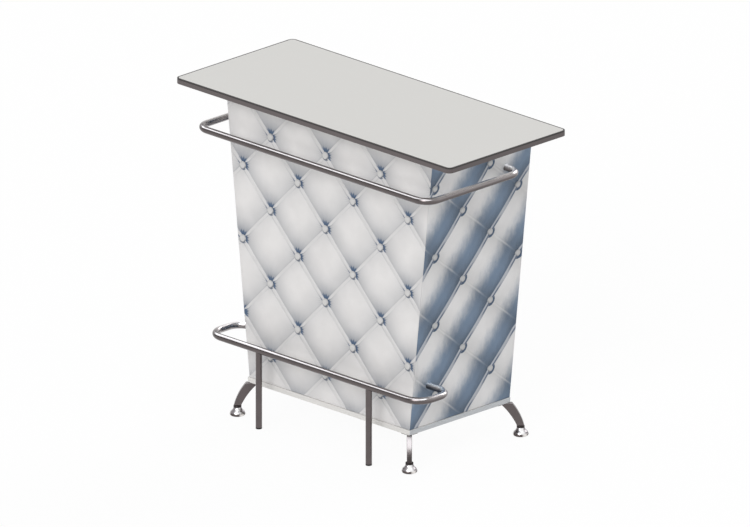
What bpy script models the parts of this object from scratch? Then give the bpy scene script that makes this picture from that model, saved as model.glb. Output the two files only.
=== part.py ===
"""Bar cabinet: a tapered carcass with button-tufted pads under an overhanging worktop, a hand rail
and a foot rail of bent tube, and four sabre legs on levelling feet.

Metres, +Z up. Guests stand at -Y and the server's open side faces +Y. Lengths are worked out from
the worktop's centre, and the whole assembly is then shifted so that the origin lies on the floor in
the middle of the space that the object covers.
"""
import math

import bmesh
import bpy
from mathutils import Matrix, Vector

# Clearances
FIT = 0.0003
BORE_CLEARANCE = 0.0004
RUNNING_CLEARANCE = 0.0001

# Worktop
TOP_LENGTH = 1.200
TOP_DEPTH = 0.5145
TOP_HEIGHT = 1.062
TOP_THICKNESS = 0.018
TOP_CORNER_RADIUS = 0.018
EDGE_BAND = 0.003

# Body: the outer faces of the pads; only its sides lean
TOP_FRONT_OVERHANG = 0.0725
BODY_REAR_SETBACK = 0.002
BODY_FOOT_INSET = 0.2475
BODY_CLEARANCE = 0.108
SIDE_LEAN = 0.111
BASE_THICKNESS = 0.016
BOARD = 0.016

# Tufted pads
PAD_THICKNESS = 0.024
PAD_RIM = 0.021
FOLD_HEIGHT = 0.018
BUTTON_SEAT = 0.013
TUFT_PITCH = 0.240
TUFT_STEPS = 4
TUFT_TOP_ROW = 0.1145
FRONT_TUFT_SHIFT = -0.022
SIDE_TUFT_START = 0.0285
SIDE_TUFT_DROP = 0.1135
SIDE_TUFT_TURN = math.radians(6.3)
FOLD_SHARPNESS = 0.8
PILLOW_FULLNESS = 0.7
EDGE_SNAP = 0.008
BUTTON_RADIUS = 0.0115
BUTTON_RISE = 0.005
BUTTON_CROWN = 0.6
BUTTON_ROUNDING = 0.5
MITRE_CLEARANCE = 0.002

# Shelves and stretcher
MIDDLE_SHELF_HEIGHT = 0.700
LOWER_SHELF_HEIGHT = 0.405
LOWER_SHELF_SETBACK = 0.025
STRETCHER_DEPTH = 0.070

# Doors
DOOR_SIDE_GAP = 0.002
DOOR_END_GAP = 0.003
DOOR_MEETING_GAP = 0.003
DOOR_STOP_GAP = 0.0006
HINGE_HEIGHT = 0.050
HINGE_INSET = 0.085
LEAF_THICKNESS = 0.0015
FRAME_LEAF_WIDTH = 0.015
DOOR_LEAF_WIDTH = 0.024
PIN_RADIUS = 0.0015
PIN_HEAD_RADIUS = 0.0027
PIN_CROWN_RADIUS = 0.0019
PIN_HEAD_HEIGHT = 0.0018
KNUCKLE_GAP = 0.0004
KNUCKLE_TURN = math.radians(285)
KNOB_RADIUS = 0.013
KNOB_LENGTH = 0.024
KNOB_FLANGE_RADIUS = 0.008
KNOB_NECK_RADIUS = 0.0055
KNOB_NECK_START = 0.005
KNOB_NECK_END = 0.011
KNOB_CROWN_START = 0.017
KNOB_INSET = 0.040
KNOB_DROP = 0.120
CATCH_LENGTH = 0.046
CATCH_DEPTH = 0.015
CATCH_HEIGHT = 0.014
CATCH_INSET = 0.022
STRIKE_LENGTH = 0.038
STRIKE_HEIGHT = 0.010
STRIKE_THICKNESS = 0.0012
SMALL_CHAMFER = 0.001

# Hand rail and foot rail, measured to the tube's axis
RAIL_DIAMETER = 0.022
RAIL_WALL = 0.0015
HAND_RAIL_DROP = 0.137
HAND_RAIL_INSET = 0.097
HAND_RAIL_STAND_OFF = 0.074
HAND_RAIL_RETURN = 0.336
HAND_RAIL_FRONT_BEND = 0.046
HAND_RAIL_END_BEND = 0.045
FOOT_RAIL_HEIGHT = 0.257
FOOT_RAIL_INSET = 0.140
FOOT_RAIL_STAND_OFF = 0.065
FOOT_RAIL_RETURN = 0.073
FOOT_RAIL_FRONT_BEND = 0.055
FOOT_RAIL_END_BEND = 0.049
TUBE_PLUG_LENGTH = 0.014
TUBE_PLUG_CONE = 0.003
BOLT_RADIUS = 0.004
BOLT_HEAD_RADIUS = 0.0085
BOLT_CROWN_RADIUS = 0.006
BOLT_CROWN_HEIGHT = 0.003
BOLT_HEAD_HEIGHT = 0.005
BOLT_WASHER_RADIUS = 0.010
BOLT_WASHER = 0.0016
POST_DIAMETER = 0.020
POST_INSET = 0.360
GLIDE_HEIGHT = 0.004
GLIDE_PLUG = 0.012

# Legs and feet; a leg stands in the vertical plane of its corner's diagonal
LEG_THICKNESS = 0.016
LEG_ROOT_WIDTH = 0.039
LEG_ROOT_INSET = 0.0135
LEG_ANKLE_WIDTH = 0.022
LEG_REACH = 0.0325
LEG_BULGE = 0.0048
LEG_PLATE_LENGTH = 0.074
LEG_PLATE_WIDTH = 0.056
LEG_PLATE_THICKNESS = 0.004
LEG_PLATE_MARGIN = 0.006
COLLAR_RADIUS = 0.0125
COLLAR_HEIGHT = 0.0055
FOOT_RADIUS = 0.0245
FOOT_NECK_RADIUS = 0.0125
FOOT_HEIGHT = 0.027
FOOT_RIM_HEIGHT = 0.012
FOOT_FLANK_CURVE = 1.8
FOOT_SOLE_RADIUS = 0.0205
STUD_RADIUS = 0.004
STUD_LENGTH = 0.018

# Facets
ROUND_SIDES = 20
TUBE_SIDES = 16
SMALL_SIDES = 12
BUTTON_SIDES = 8
CORNER_STEPS = 6
LEG_STEPS = 8
SMOOTH_ANGLE = math.radians(35)

# Planes worked out from the driving sizes
BODY_TOP = TOP_HEIGHT - TOP_THICKNESS
BODY_REAR = TOP_DEPTH / 2 - BODY_REAR_SETBACK
BODY_FRONT = TOP_FRONT_OVERHANG - TOP_DEPTH / 2
BASE_TOP = BODY_CLEARANCE + BASE_THICKNESS
FRONT_PANEL_FACE = BODY_FRONT + PAD_THICKNESS + FIT
INSIDE_FRONT = FRONT_PANEL_FACE + BOARD + FIT
DOOR_BACK = BODY_REAR - BOARD
LEAN_ANGLE = math.atan(SIDE_LEAN)
LEAN_STRETCH = 1 / math.cos(LEAN_ANGLE)
SHELF_UNDERSIDE = MIDDLE_SHELF_HEIGHT - BOARD
KNUCKLE_INNER = PIN_RADIUS + RUNNING_CLEARANCE
KNUCKLE_OUTER = KNUCKLE_INNER + LEAF_THICKNESS
RAIL_RADIUS = RAIL_DIAMETER / 2
HAND_RAIL_HEIGHT = TOP_HEIGHT - HAND_RAIL_DROP
HAND_RAIL_END = BODY_FRONT + HAND_RAIL_RETURN
FOOT_RAIL_END = BODY_FRONT + FOOT_RAIL_RETURN
FOOT_RAIL_FRONT = BODY_FRONT - FOOT_RAIL_STAND_OFF
COLLAR_BOTTOM = FOOT_HEIGHT + FIT
LEG_BOTTOM = COLLAR_BOTTOM + COLLAR_HEIGHT + FIT
FOOT_OFFSET = LEG_REACH / math.sqrt(2)


def half_length(height):
    """Half the body's outer length at a height."""
    return TOP_LENGTH / 2 - BODY_FOOT_INSET + (height - BODY_CLEARANCE) * SIDE_LEAN


def panel_face(height):
    """Distance from the middle to the outer face of a leaning side panel."""
    return half_length(height) - (PAD_THICKNESS + FIT) * LEAN_STRETCH


def inside_face(height):
    """Distance from the middle to the inner face of a leaning side panel."""
    return panel_face(height) - BOARD * LEAN_STRETCH


def middle_of_space():
    """The depth at the middle of all that the object covers."""
    front = min(-TOP_DEPTH / 2, BODY_FRONT - HAND_RAIL_STAND_OFF - RAIL_RADIUS, FOOT_RAIL_FRONT - RAIL_RADIUS)
    rear = max(TOP_DEPTH / 2, BODY_REAR + KNOB_LENGTH, BODY_REAR + FOOT_OFFSET + FOOT_RADIUS)
    return (front + rear) / 2


def linear(level):
    """One display colour level, 0 to 255, as linear light."""
    share = level / 255
    return share / 12.92 if share <= 0.04045 else ((share + 0.055) / 1.055) ** 2.4


def material(name, colour, roughness, metallic=0.0):
    made = bpy.data.materials.new(name)
    made.use_nodes = True
    shader = made.node_tree.nodes["Principled BSDF"]
    shader.inputs["Base Color"].default_value = (*[linear(level) for level in colour], 1)
    shader.inputs["Roughness"].default_value = roughness
    shader.inputs["Metallic"].default_value = metallic
    return made


def clear_scene():
    for thing in list(bpy.data.objects):
        bpy.data.objects.remove(thing, do_unlink=True)


def empty(name, parent=None, place=None):
    """A guide point that pieces hang on."""
    made = bpy.data.objects.new(name, None)
    bpy.context.collection.objects.link(made)
    made.parent = parent
    if place:
        made.matrix_local = place
    return made


def piece(name, bm, finish, parent, smooth=False):
    """Turns a bmesh into a named object under its parent."""
    bmesh.ops.recalc_face_normals(bm, faces=bm.faces)
    mesh = bpy.data.meshes.new(name)
    bm.to_mesh(mesh)
    bm.free()
    if finish:
        mesh.materials.append(finish)
    if smooth:
        mesh.shade_smooth()
        mesh.set_sharp_from_angle(angle=SMOOTH_ANGLE)
    made = bpy.data.objects.new(name, mesh)
    bpy.context.collection.objects.link(made)
    made.parent = parent
    return made


def swinging(made, side):
    """Hangs a piece, modelled in place, on the empty of its door's hinge line."""
    made.parent = bpy.data.objects[f"{side_name(side)}_door_axis"]
    made.matrix_parent_inverse = hinge_axis(side).inverted()


def guide_shape(name, bm, parent):
    """A helper shape for a Boolean."""
    made = piece(name, bm, None, parent)
    made.hide_render = True
    made.display_type = "WIRE"
    return made


def combine(made, tool, operation):
    modifier = made.modifiers.new(tool.name, "BOOLEAN")
    modifier.operation = operation
    modifier.solver = "EXACT"
    modifier.object = tool


def verts_in(made):
    return [item for item in made if isinstance(item, bmesh.types.BMVert)]


def edges_in(made):
    return [item for item in made if isinstance(item, bmesh.types.BMEdge)]


def faces_in(made):
    return [item for item in made if isinstance(item, bmesh.types.BMFace)]


def run_on(bm, faces, step, first=False):
    """Extrudes end faces along a step and returns the new end; the first faces stay as the other end."""
    made = bmesh.ops.extrude_face_region(bm, geom=faces)["geom"]
    bmesh.ops.translate(bm, vec=step, verts=verts_in(made))
    if not first:
        bmesh.ops.delete(bm, geom=faces, context="FACES")
    return faces_in(made)


def bend(bm, faces, centre, axis, angle, steps):
    """Turns end faces about an axis, as a tube bender does, and returns the new end."""
    made = bmesh.ops.spin(bm, geom=faces, cent=centre, axis=axis, angle=angle, steps=steps)
    bmesh.ops.delete(bm, geom=faces, context="FACES")
    return faces_in(made["geom_last"])


def prism(points, step):
    """A flat outline extruded along a step."""
    bm = bmesh.new()
    face = bm.faces.new([bm.verts.new(point) for point in points])
    run_on(bm, [face], step, first=True)
    return bm


def turned(profile, sides, place=Matrix()):
    """A closed profile of (radius, height) points turned about its own Z axis, then placed."""
    bm = bmesh.new()
    points = [bm.verts.new((radius, 0, height)) for radius, height in profile]
    edges = [bm.edges.new(pair) for pair in zip(points, points[1:])]
    bmesh.ops.spin(bm, geom=points + edges, cent=(0, 0, 0), axis=(0, 0, 1), angle=math.tau, steps=sides,
                   use_merge=True)
    bmesh.ops.remove_doubles(bm, verts=bm.verts, dist=1e-6)
    bmesh.ops.transform(bm, matrix=place, verts=bm.verts)
    return bm


def rod(radius, start, end, sides):
    """A round bar between two points."""
    start = Vector(start)
    along = Vector(end) - start
    place = Matrix.Translation(start) @ along.to_track_quat("Z", "Y").to_matrix().to_4x4()
    return turned([(0, 0), (radius, 0), (radius, along.length), (0, along.length)], sides, place)


def mirrored(bm, side):
    """The shape as made for the right, or its mirror image for the left."""
    if side < 0:
        bmesh.ops.scale(bm, vec=(-1, 1, 1), verts=bm.verts)
    return bm


def side_name(side):
    return "right" if side > 0 else "left"


def rounded_outline(length, depth, radius, height):
    """A rectangle about the centre with round corners, as points in order."""
    points = []
    for corner in range(4):
        toward_x = 1 if corner in (0, 3) else -1
        toward_y = 1 if corner in (0, 1) else -1
        centre = Vector((toward_x * (length / 2 - radius), toward_y * (depth / 2 - radius), height))
        for step in range(CORNER_STEPS + 1):
            angle = (corner + step / CORNER_STEPS) * math.pi / 2
            points.append(centre + radius * Vector((math.cos(angle), math.sin(angle), 0)))
    return points


def worktop(root, finish):
    trim = EDGE_BAND + FIT
    outline = rounded_outline(TOP_LENGTH - 2 * trim, TOP_DEPTH - 2 * trim, TOP_CORNER_RADIUS - trim, BODY_TOP)
    piece("worktop", prism(outline, (0, 0, TOP_THICKNESS)), finish, root)


def edge_band(root, finish):
    bm = bmesh.new()
    for trim in (0, EDGE_BAND):
        outline = rounded_outline(TOP_LENGTH - 2 * trim, TOP_DEPTH - 2 * trim, TOP_CORNER_RADIUS - trim, BODY_TOP)
        points = [bm.verts.new(point) for point in outline]
        for pair in zip(points, points[1:] + points[:1]):
            bm.edges.new(pair)
    ring = bmesh.ops.bridge_loops(bm, edges=bm.edges)["faces"]
    run_on(bm, ring, (0, 0, TOP_THICKNESS), first=True)
    piece("worktop_edge_band", bm, finish, root, smooth=True)


def cross_board(low, high, front, rear, reach):
    """A board across the body whose ends lean with its sides; reach gives half its length at a height."""
    outline = [
        (-reach(low), front, low),
        (reach(low), front, low),
        (reach(high), front, high),
        (-reach(high), front, high),
    ]
    return prism(outline, (0, rear - front, 0))


def carcass(root, finish, base_finish):
    piece("base_panel", cross_board(BODY_CLEARANCE, BASE_TOP, BODY_FRONT, BODY_REAR, half_length), base_finish, root)
    low = BASE_TOP + FIT
    high = BODY_TOP - FIT
    front = cross_board(low, high, FRONT_PANEL_FACE, FRONT_PANEL_FACE + BOARD, panel_face)
    piece("front_panel", front, finish, root)

    def between_sides(height):
        return inside_face(height) - FIT * LEAN_STRETCH

    shelf = cross_board(SHELF_UNDERSIDE, MIDDLE_SHELF_HEIGHT, INSIDE_FRONT, BODY_REAR, between_sides)
    piece("middle_shelf", shelf, finish, root)
    stretcher = cross_board(high - STRETCHER_DEPTH, high, DOOR_BACK, BODY_REAR, between_sides)
    piece("rear_stretcher", stretcher, finish, root)
    divider_rear = DOOR_BACK - DOOR_STOP_GAP
    divider = cross_board(low, SHELF_UNDERSIDE - FIT, INSIDE_FRONT, divider_rear, lambda height: BOARD / 2)
    piece("centre_divider", divider, finish, root)
    for side in (-1, 1):
        side_panel(root, finish, side, low, high)
        lower_shelf(root, finish, side, between_sides, divider_rear - LOWER_SHELF_SETBACK)


def side_panel(root, finish, side, low, high):
    outline = [
        (panel_face(low), INSIDE_FRONT, low),
        (panel_face(high), INSIDE_FRONT, high),
        (inside_face(high), INSIDE_FRONT, high),
        (inside_face(low), INSIDE_FRONT, low),
    ]
    bm = mirrored(prism(outline, (0, BODY_REAR - INSIDE_FRONT, 0)), side)
    made = piece(f"{side_name(side)}_side_panel", bm, finish, root)
    for rail in ("hand_rail", "foot_rail"):
        combine(made, bpy.data.objects[f"{rail}_bolt_hole"], "DIFFERENCE")


def lower_shelf(root, finish, side, between_sides, rear):
    low = LOWER_SHELF_HEIGHT - BOARD
    high = LOWER_SHELF_HEIGHT
    divider_face = BOARD / 2 + FIT
    outline = [
        (divider_face, INSIDE_FRONT, low),
        (between_sides(low), INSIDE_FRONT, low),
        (between_sides(high), INSIDE_FRONT, high),
        (divider_face, INSIDE_FRONT, high),
    ]
    bm = mirrored(prism(outline, (0, rear - INSIDE_FRONT, 0)), side)
    piece(f"{side_name(side)}_lower_shelf", bm, finish, root)


def tuft_height(along, across):
    """Height of the cover over the pad's back; whole lattice numbers are buttons, between them are folds."""
    swell_along = math.sin(math.pi * (along % 1))
    swell_across = math.sin(math.pi * (across % 1))
    fold = 1 - (1 - swell_along ** FOLD_SHARPNESS) * (1 - swell_across ** FOLD_SHARPNESS)
    pillow = (swell_along * swell_across) ** PILLOW_FULLNESS
    return BUTTON_SEAT + (FOLD_HEIGHT - BUTTON_SEAT) * fold + (PAD_THICKNESS - FOLD_HEIGHT) * pillow


def tuft_lattice(anchor, turn):
    """Takes lattice numbers to the pad's plane: both families of folds run at 45 degrees to its rows."""
    half = TUFT_PITCH / 2
    diamonds = Matrix(((half, -half, 0, 0), (half, half, 0, 0), (0, 0, 1, 0), (0, 0, 0, 1)))
    return Matrix.Translation((*anchor, 0)) @ Matrix.Rotation(turn, 4, "Z") @ diamonds


class PadEdge:
    """One straight edge of a pad's outline, and how far along its row the back stops short of it."""

    def __init__(self, start, end, mitre):
        self.start = Vector((*start, 0))
        along = (Vector((*end, 0)) - self.start).normalized()
        self.outward = Vector((along.y, -along.x, 0))
        self.mitre = Vector((-math.copysign(mitre, self.outward.x), 0, 0))

    def outside(self, point):
        """How far a point of the pad's plane lies outside this edge."""
        return (point - self.start).dot(self.outward)

    def beyond(self, point):
        """How far a point lies outside the mitre at the back, as a share of the mitre's depth."""
        depth = -self.mitre.dot(self.outward)
        return self.outside(point) / depth + 1 if depth else 0

    def cut_back(self, point):
        """The point, moved along its row to the mitre's slope at its height if it lies outside that."""
        return point + self.mitre * max(0, self.beyond(point) - point.z / PAD_THICKNESS)

    def least_height(self, point):
        """The lowest that the cover may dip at a point and stay clear of the mitre's slope."""
        return PAD_THICKNESS * self.beyond(point) + MITRE_CLEARANCE


def pad_edges(corners, mitres):
    return [PadEdge(*ends) for ends in zip(corners, corners[1:] + corners[:1], mitres)]


def pad_cover(edges, lattice):
    """A tufted pad as a closed shape: the folds, the buttons, the rim, its mitred edges and a flat back."""
    bm = bmesh.new()
    reach = 2 * max((edge.start - lattice.translation).length for edge in edges)
    cells = 2 * math.ceil(reach / TUFT_PITCH)
    bmesh.ops.create_grid(bm, x_segments=2 * cells * TUFT_STEPS, y_segments=2 * cells * TUFT_STEPS, size=cells)
    bmesh.ops.transform(bm, matrix=lattice, verts=bm.verts)
    for edge in edges:
        everything = list(bm.verts) + list(bm.edges) + list(bm.faces)
        bmesh.ops.bisect_plane(bm, geom=everything, dist=EDGE_SNAP, plane_co=edge.start, plane_no=edge.outward,
                               clear_outer=True)
        for vert in bm.verts:
            if edge.outside(vert.co) > -EDGE_SNAP:
                vert.co -= edge.outside(vert.co) * edge.outward
        bmesh.ops.remove_doubles(bm, verts=bm.verts, dist=EDGE_SNAP / 10)
    to_lattice = lattice.inverted()
    buttons = []
    for vert in bm.verts:
        along, across, _ = to_lattice @ vert.co
        on_fold = math.hypot(along - round(along), across - round(across)) < 1 / (2 * TUFT_STEPS)
        if on_fold and max(edge.outside(vert.co) for edge in edges) < -BUTTON_RADIUS - EDGE_SNAP:
            buttons.append(vert)
    seats = faces_in(bmesh.ops.bevel(bm, geom=buttons, offset=BUTTON_RADIUS, segments=BUTTON_SIDES // 4,
                                     profile=BUTTON_ROUNDING, affect="VERTICES", material=-1)["faces"])
    for vert in bm.verts:
        along, across, _ = to_lattice @ vert.co
        lowest = max(edge.least_height(vert.co) for edge in edges)
        vert.co.z = PAD_RIM if vert.is_boundary else max(tuft_height(along, across), lowest)
    for seat in seats:
        draw_button(bm, seat)
    border = [edge for edge in bm.edges if edge.is_boundary]
    skirt = bmesh.ops.extrude_edge_only(bm, edges=border)["geom"]
    back = verts_in(skirt)
    for vert in back:
        vert.co.z = 0
    for vert in [vert for edge in border for vert in edge.verts] + back:
        for edge in edges:
            vert.co = edge.cut_back(vert.co)
    bmesh.ops.remove_doubles(bm, verts=back, dist=EDGE_SNAP / 10)
    bmesh.ops.contextual_create(bm, geom=[edge for edge in bm.edges if edge.is_boundary])
    return bm


def draw_button(bm, seat):
    """Levels a button's seat and draws its crown out of it."""
    level = max(vert.co.z for vert in seat.verts)
    for vert in seat.verts:
        vert.co.z = level
    middle = seat.calc_center_median()
    for crown in run_on(bm, [seat], (0, 0, BUTTON_RISE)):
        bmesh.ops.scale(bm, vec=(BUTTON_CROWN, BUTTON_CROWN, 1), space=Matrix.Translation(-middle), verts=crown.verts)


def tufted_pad(name, root, finish, edges, lattice, place, side=1):
    bm = pad_cover(edges, lattice)
    bmesh.ops.transform(bm, matrix=place, verts=bm.verts)
    return piece(name, mirrored(bm, side), finish, root, smooth=True)


def front_pad(root, finish):
    low = BASE_TOP + FIT
    high = BODY_TOP - FIT
    mitre = PAD_THICKNESS * LEAN_STRETCH
    corners = [
        (-half_length(low) + FIT, low),
        (half_length(low) - FIT, low),
        (half_length(high) - FIT, high),
        (-half_length(high) + FIT, high),
    ]
    edges = pad_edges(corners, (0, mitre, 0, mitre))
    lattice = tuft_lattice((FRONT_TUFT_SHIFT, BODY_TOP - TUFT_TOP_ROW), 0)
    place = Matrix(((1, 0, 0, 0), (0, 0, -1, BODY_FRONT + PAD_THICKNESS), (0, 1, 0, 0), (0, 0, 0, 1)))
    tufted_pad("front_tufted_pad", root, finish, edges, lattice, place)


def side_pad(root, finish, side):
    low = 0
    high = (BODY_TOP - BASE_TOP - 2 * FIT) * LEAN_STRETCH
    corners = [(BODY_FRONT + FIT, low), (BODY_REAR, low), (BODY_REAR, high), (BODY_FRONT + FIT, high)]
    edges = pad_edges(corners, (0, 0, 0, PAD_THICKNESS))
    anchor = (BODY_FRONT + SIDE_TUFT_START, high - SIDE_TUFT_DROP * LEAN_STRETCH)
    lattice = tuft_lattice(anchor, SIDE_TUFT_TURN)
    back = half_length(BASE_TOP + FIT) - PAD_THICKNESS * LEAN_STRETCH
    place = Matrix((
        (0, math.sin(LEAN_ANGLE), LEAN_STRETCH, back),
        (1, 0, 0, 0),
        (0, math.cos(LEAN_ANGLE), 0, BASE_TOP + FIT),
        (0, 0, 0, 1),
    ))
    made = tufted_pad(f"{side_name(side)}_tufted_pad", root, finish, edges, lattice, place, side)
    for rail in ("hand_rail", "foot_rail"):
        combine(made, bpy.data.objects[f"{rail}_end_hole"], "DIFFERENCE")


def annulus(bm, outer, inner, place):
    """A flat ring of faces, the start of a tube."""
    for radius in (outer, inner):
        bmesh.ops.create_circle(bm, segments=TUBE_SIDES, radius=radius, cap_ends=False)
    ring = bmesh.ops.bridge_loops(bm, edges=bm.edges)["faces"]
    bmesh.ops.transform(bm, matrix=place, verts=bm.verts)
    return ring


def widen_bore(faces, centre, wanted):
    """Moves the inner points of a tube's end ring to another bore."""
    for vert in {vert for face in faces for vert in face.verts}:
        outward = vert.co - centre
        if outward.length < RAIL_RADIUS - RAIL_WALL / 2:
            vert.co = centre + outward.normalized() * wanted


def rail(name, root, finish, height, inset, stand_off, end, front_bend, end_bend):
    """A tube bent round the front and both sides, with plugged and tapped ends at the side panels."""
    bm = bmesh.new()
    half = TOP_LENGTH / 2 - inset
    front = BODY_FRONT - stand_off
    seat = panel_face(height) + FIT * LEAN_STRETCH
    upright = Vector((0, 0, 1))
    quarter = math.pi / 2
    turn_in = half - end_bend
    turn_side = half - front_bend
    bore = RAIL_RADIUS - RAIL_WALL
    tapped = BOLT_RADIUS + BORE_CLEARANCE
    start = Matrix.Translation((-seat, end, height)) @ Matrix.Rotation(-quarter, 4, "Y")
    faces = annulus(bm, RAIL_RADIUS, tapped, start)
    faces = run_on(bm, faces, (-TUBE_PLUG_LENGTH, 0, 0), first=True)
    faces = run_on(bm, faces, (-TUBE_PLUG_CONE, 0, 0))
    widen_bore(faces, Vector((-seat - TUBE_PLUG_LENGTH - TUBE_PLUG_CONE, end, height)), bore)
    straight_end = turn_in - seat - TUBE_PLUG_LENGTH - TUBE_PLUG_CONE
    straight_side = end - end_bend - front - front_bend
    faces = run_on(bm, faces, (-straight_end, 0, 0))
    faces = bend(bm, faces, (-turn_in, end - end_bend, height), upright, quarter, CORNER_STEPS)
    faces = run_on(bm, faces, (0, -straight_side, 0))
    faces = bend(bm, faces, (-turn_side, front + front_bend, height), upright, quarter, CORNER_STEPS)
    faces = run_on(bm, faces, (2 * turn_side, 0, 0))
    faces = bend(bm, faces, (turn_side, front + front_bend, height), upright, quarter, CORNER_STEPS)
    faces = run_on(bm, faces, (0, straight_side, 0))
    faces = bend(bm, faces, (turn_in, end - end_bend, height), upright, quarter, CORNER_STEPS)
    faces = run_on(bm, faces, (-straight_end, 0, 0))
    faces = run_on(bm, faces, (-TUBE_PLUG_CONE, 0, 0))
    widen_bore(faces, Vector((seat + TUBE_PLUG_LENGTH, end, height)), tapped)
    run_on(bm, faces, (-TUBE_PLUG_LENGTH, 0, 0))
    for vert in bm.verts:
        if abs(abs(vert.co.x) - seat) < TUBE_PLUG_LENGTH / 4 and abs(vert.co.y - end) < RAIL_DIAMETER:
            lean_seat = panel_face(vert.co.z) + FIT * LEAN_STRETCH
            vert.co.x = math.copysign(lean_seat, vert.co.x)
    piece(name, bm, finish, root, smooth=True)


def rail_holes(root, name, height, end):
    """Holes on a rail's end axis: one through the pads for the tube, one through the panels for its bolts."""
    reach = TOP_LENGTH / 2
    ends = ((-reach, end, height), (reach, end, height))
    guide_shape(f"{name}_end_hole", rod(RAIL_RADIUS + BORE_CLEARANCE, *ends, ROUND_SIDES), root)
    guide_shape(f"{name}_bolt_hole", rod(BOLT_RADIUS + BORE_CLEARANCE, *ends, SMALL_SIDES), root)


def rail_bolts(root, finish, name, height, end):
    """A washer-head bolt through each side panel into the rail's tapped end."""
    tip = panel_face(height) + TUBE_PLUG_LENGTH - BORE_CLEARANCE
    seat = inside_face(height - BOLT_WASHER_RADIUS) - FIT * LEAN_STRETCH
    profile = [
        (0, 0),
        (BOLT_CROWN_RADIUS, 0),
        (BOLT_HEAD_RADIUS, BOLT_CROWN_HEIGHT),
        (BOLT_HEAD_RADIUS, BOLT_HEAD_HEIGHT),
        (BOLT_WASHER_RADIUS, BOLT_HEAD_HEIGHT),
        (BOLT_WASHER_RADIUS, BOLT_HEAD_HEIGHT + BOLT_WASHER),
        (BOLT_RADIUS, BOLT_HEAD_HEIGHT + BOLT_WASHER),
        (BOLT_RADIUS, BOLT_HEAD_HEIGHT + BOLT_WASHER + tip - seat),
        (0, BOLT_HEAD_HEIGHT + BOLT_WASHER + tip - seat),
    ]
    head = seat - BOLT_HEAD_HEIGHT - BOLT_WASHER
    place = Matrix.Translation((head, end, height)) @ Matrix.Rotation(math.pi / 2, 4, "Y")
    for side in (-1, 1):
        bm = mirrored(turned(profile, SMALL_SIDES, place), side)
        piece(f"{name}_{side_name(side)}_bolt", bm, finish, root, smooth=True)


def posts(root, finish, glide_finish):
    """Two tubes from the floor, coped to the foot rail, each on a plug-in glide."""
    outer = POST_DIAMETER / 2
    inner = outer - RAIL_WALL
    reach = TOP_LENGTH / 2
    ends = ((-reach, FOOT_RAIL_FRONT, FOOT_RAIL_HEIGHT), (reach, FOOT_RAIL_FRONT, FOOT_RAIL_HEIGHT))
    cope = guide_shape("foot_rail_cope", rod(RAIL_RADIUS + FIT, *ends, ROUND_SIDES), root)
    glide_profile = [
        (0, 0),
        (outer - SMALL_CHAMFER, 0),
        (outer, SMALL_CHAMFER),
        (outer, GLIDE_HEIGHT),
        (inner - FIT, GLIDE_HEIGHT),
        (inner - FIT, GLIDE_HEIGHT + GLIDE_PLUG),
        (0, GLIDE_HEIGHT + GLIDE_PLUG),
    ]
    for side in (-1, 1):
        name = f"{side_name(side)}_foot_rail_post"
        foot = Vector((side * (TOP_LENGTH / 2 - POST_INSET), FOOT_RAIL_FRONT, 0))
        bm = bmesh.new()
        bottom = GLIDE_HEIGHT + FIT
        ring = annulus(bm, outer, inner, Matrix.Translation((0, 0, bottom)))
        run_on(bm, ring, (0, 0, FOOT_RAIL_HEIGHT - bottom), first=True)
        post = piece(name, bm, finish, root, smooth=True)
        post.location = foot
        combine(post, cope, "DIFFERENCE")
        glide = piece(f"{name}_glide", turned(glide_profile, TUBE_SIDES), glide_finish, root, smooth=True)
        glide.location = foot


def arc_between(start, end, bulge, steps):
    """Points of the shallow arc from start to end that bulges to its left, without the end point."""
    start = Vector(start)
    end = Vector(end)
    chord = end - start
    radius = (chord.length ** 2 / 4 + bulge ** 2) / (2 * bulge)
    left = Vector((-chord.y, chord.x)).normalized()
    centre = (start + end) / 2 + left * (bulge - radius)
    sweep = 2 * math.asin(chord.length / (2 * radius))
    spoke = start - centre
    points = []
    for step in range(steps):
        angle = -sweep * step / steps
        turned_spoke = Matrix.Rotation(angle, 2) @ spoke
        points.append(centre + turned_spoke)
    return points


def leg_outline():
    """The side view of a leg: along the corner's diagonal, outwards, and up from the floor."""
    top = BODY_CLEARANCE - 2 * FIT
    root_outer = (LEG_ROOT_WIDTH / 2 - LEG_ROOT_INSET, top)
    root_inner = (-LEG_ROOT_WIDTH / 2 - LEG_ROOT_INSET, top)
    ankle_outer = (LEG_REACH + LEG_ANKLE_WIDTH / 2, LEG_BOTTOM)
    ankle_inner = (LEG_REACH - LEG_ANKLE_WIDTH / 2, LEG_BOTTOM)
    outer = arc_between(root_outer, ankle_outer, LEG_BULGE, LEG_STEPS)
    inner = arc_between(root_inner, ankle_inner, LEG_BULGE, LEG_STEPS)
    return outer + [Vector(ankle_outer), Vector(ankle_inner)] + inner[::-1]


def leg_plate_outline():
    """The fixing plate's outline under the base, seen from above, with its point at the corner."""
    near = -LEG_THICKNESS / 2 - LEG_PLATE_MARGIN * math.sqrt(2)
    shoulder = -LEG_PLATE_WIDTH / 2 - LEG_PLATE_MARGIN * math.sqrt(2)
    far = near - LEG_PLATE_LENGTH
    half_point = LEG_THICKNESS / 2
    half_plate = LEG_PLATE_WIDTH / 2
    return [
        (near, -half_point),
        (near, half_point),
        (shoulder, half_plate),
        (far, half_plate),
        (far, -half_plate),
        (shoulder, -half_plate),
    ]


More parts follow.
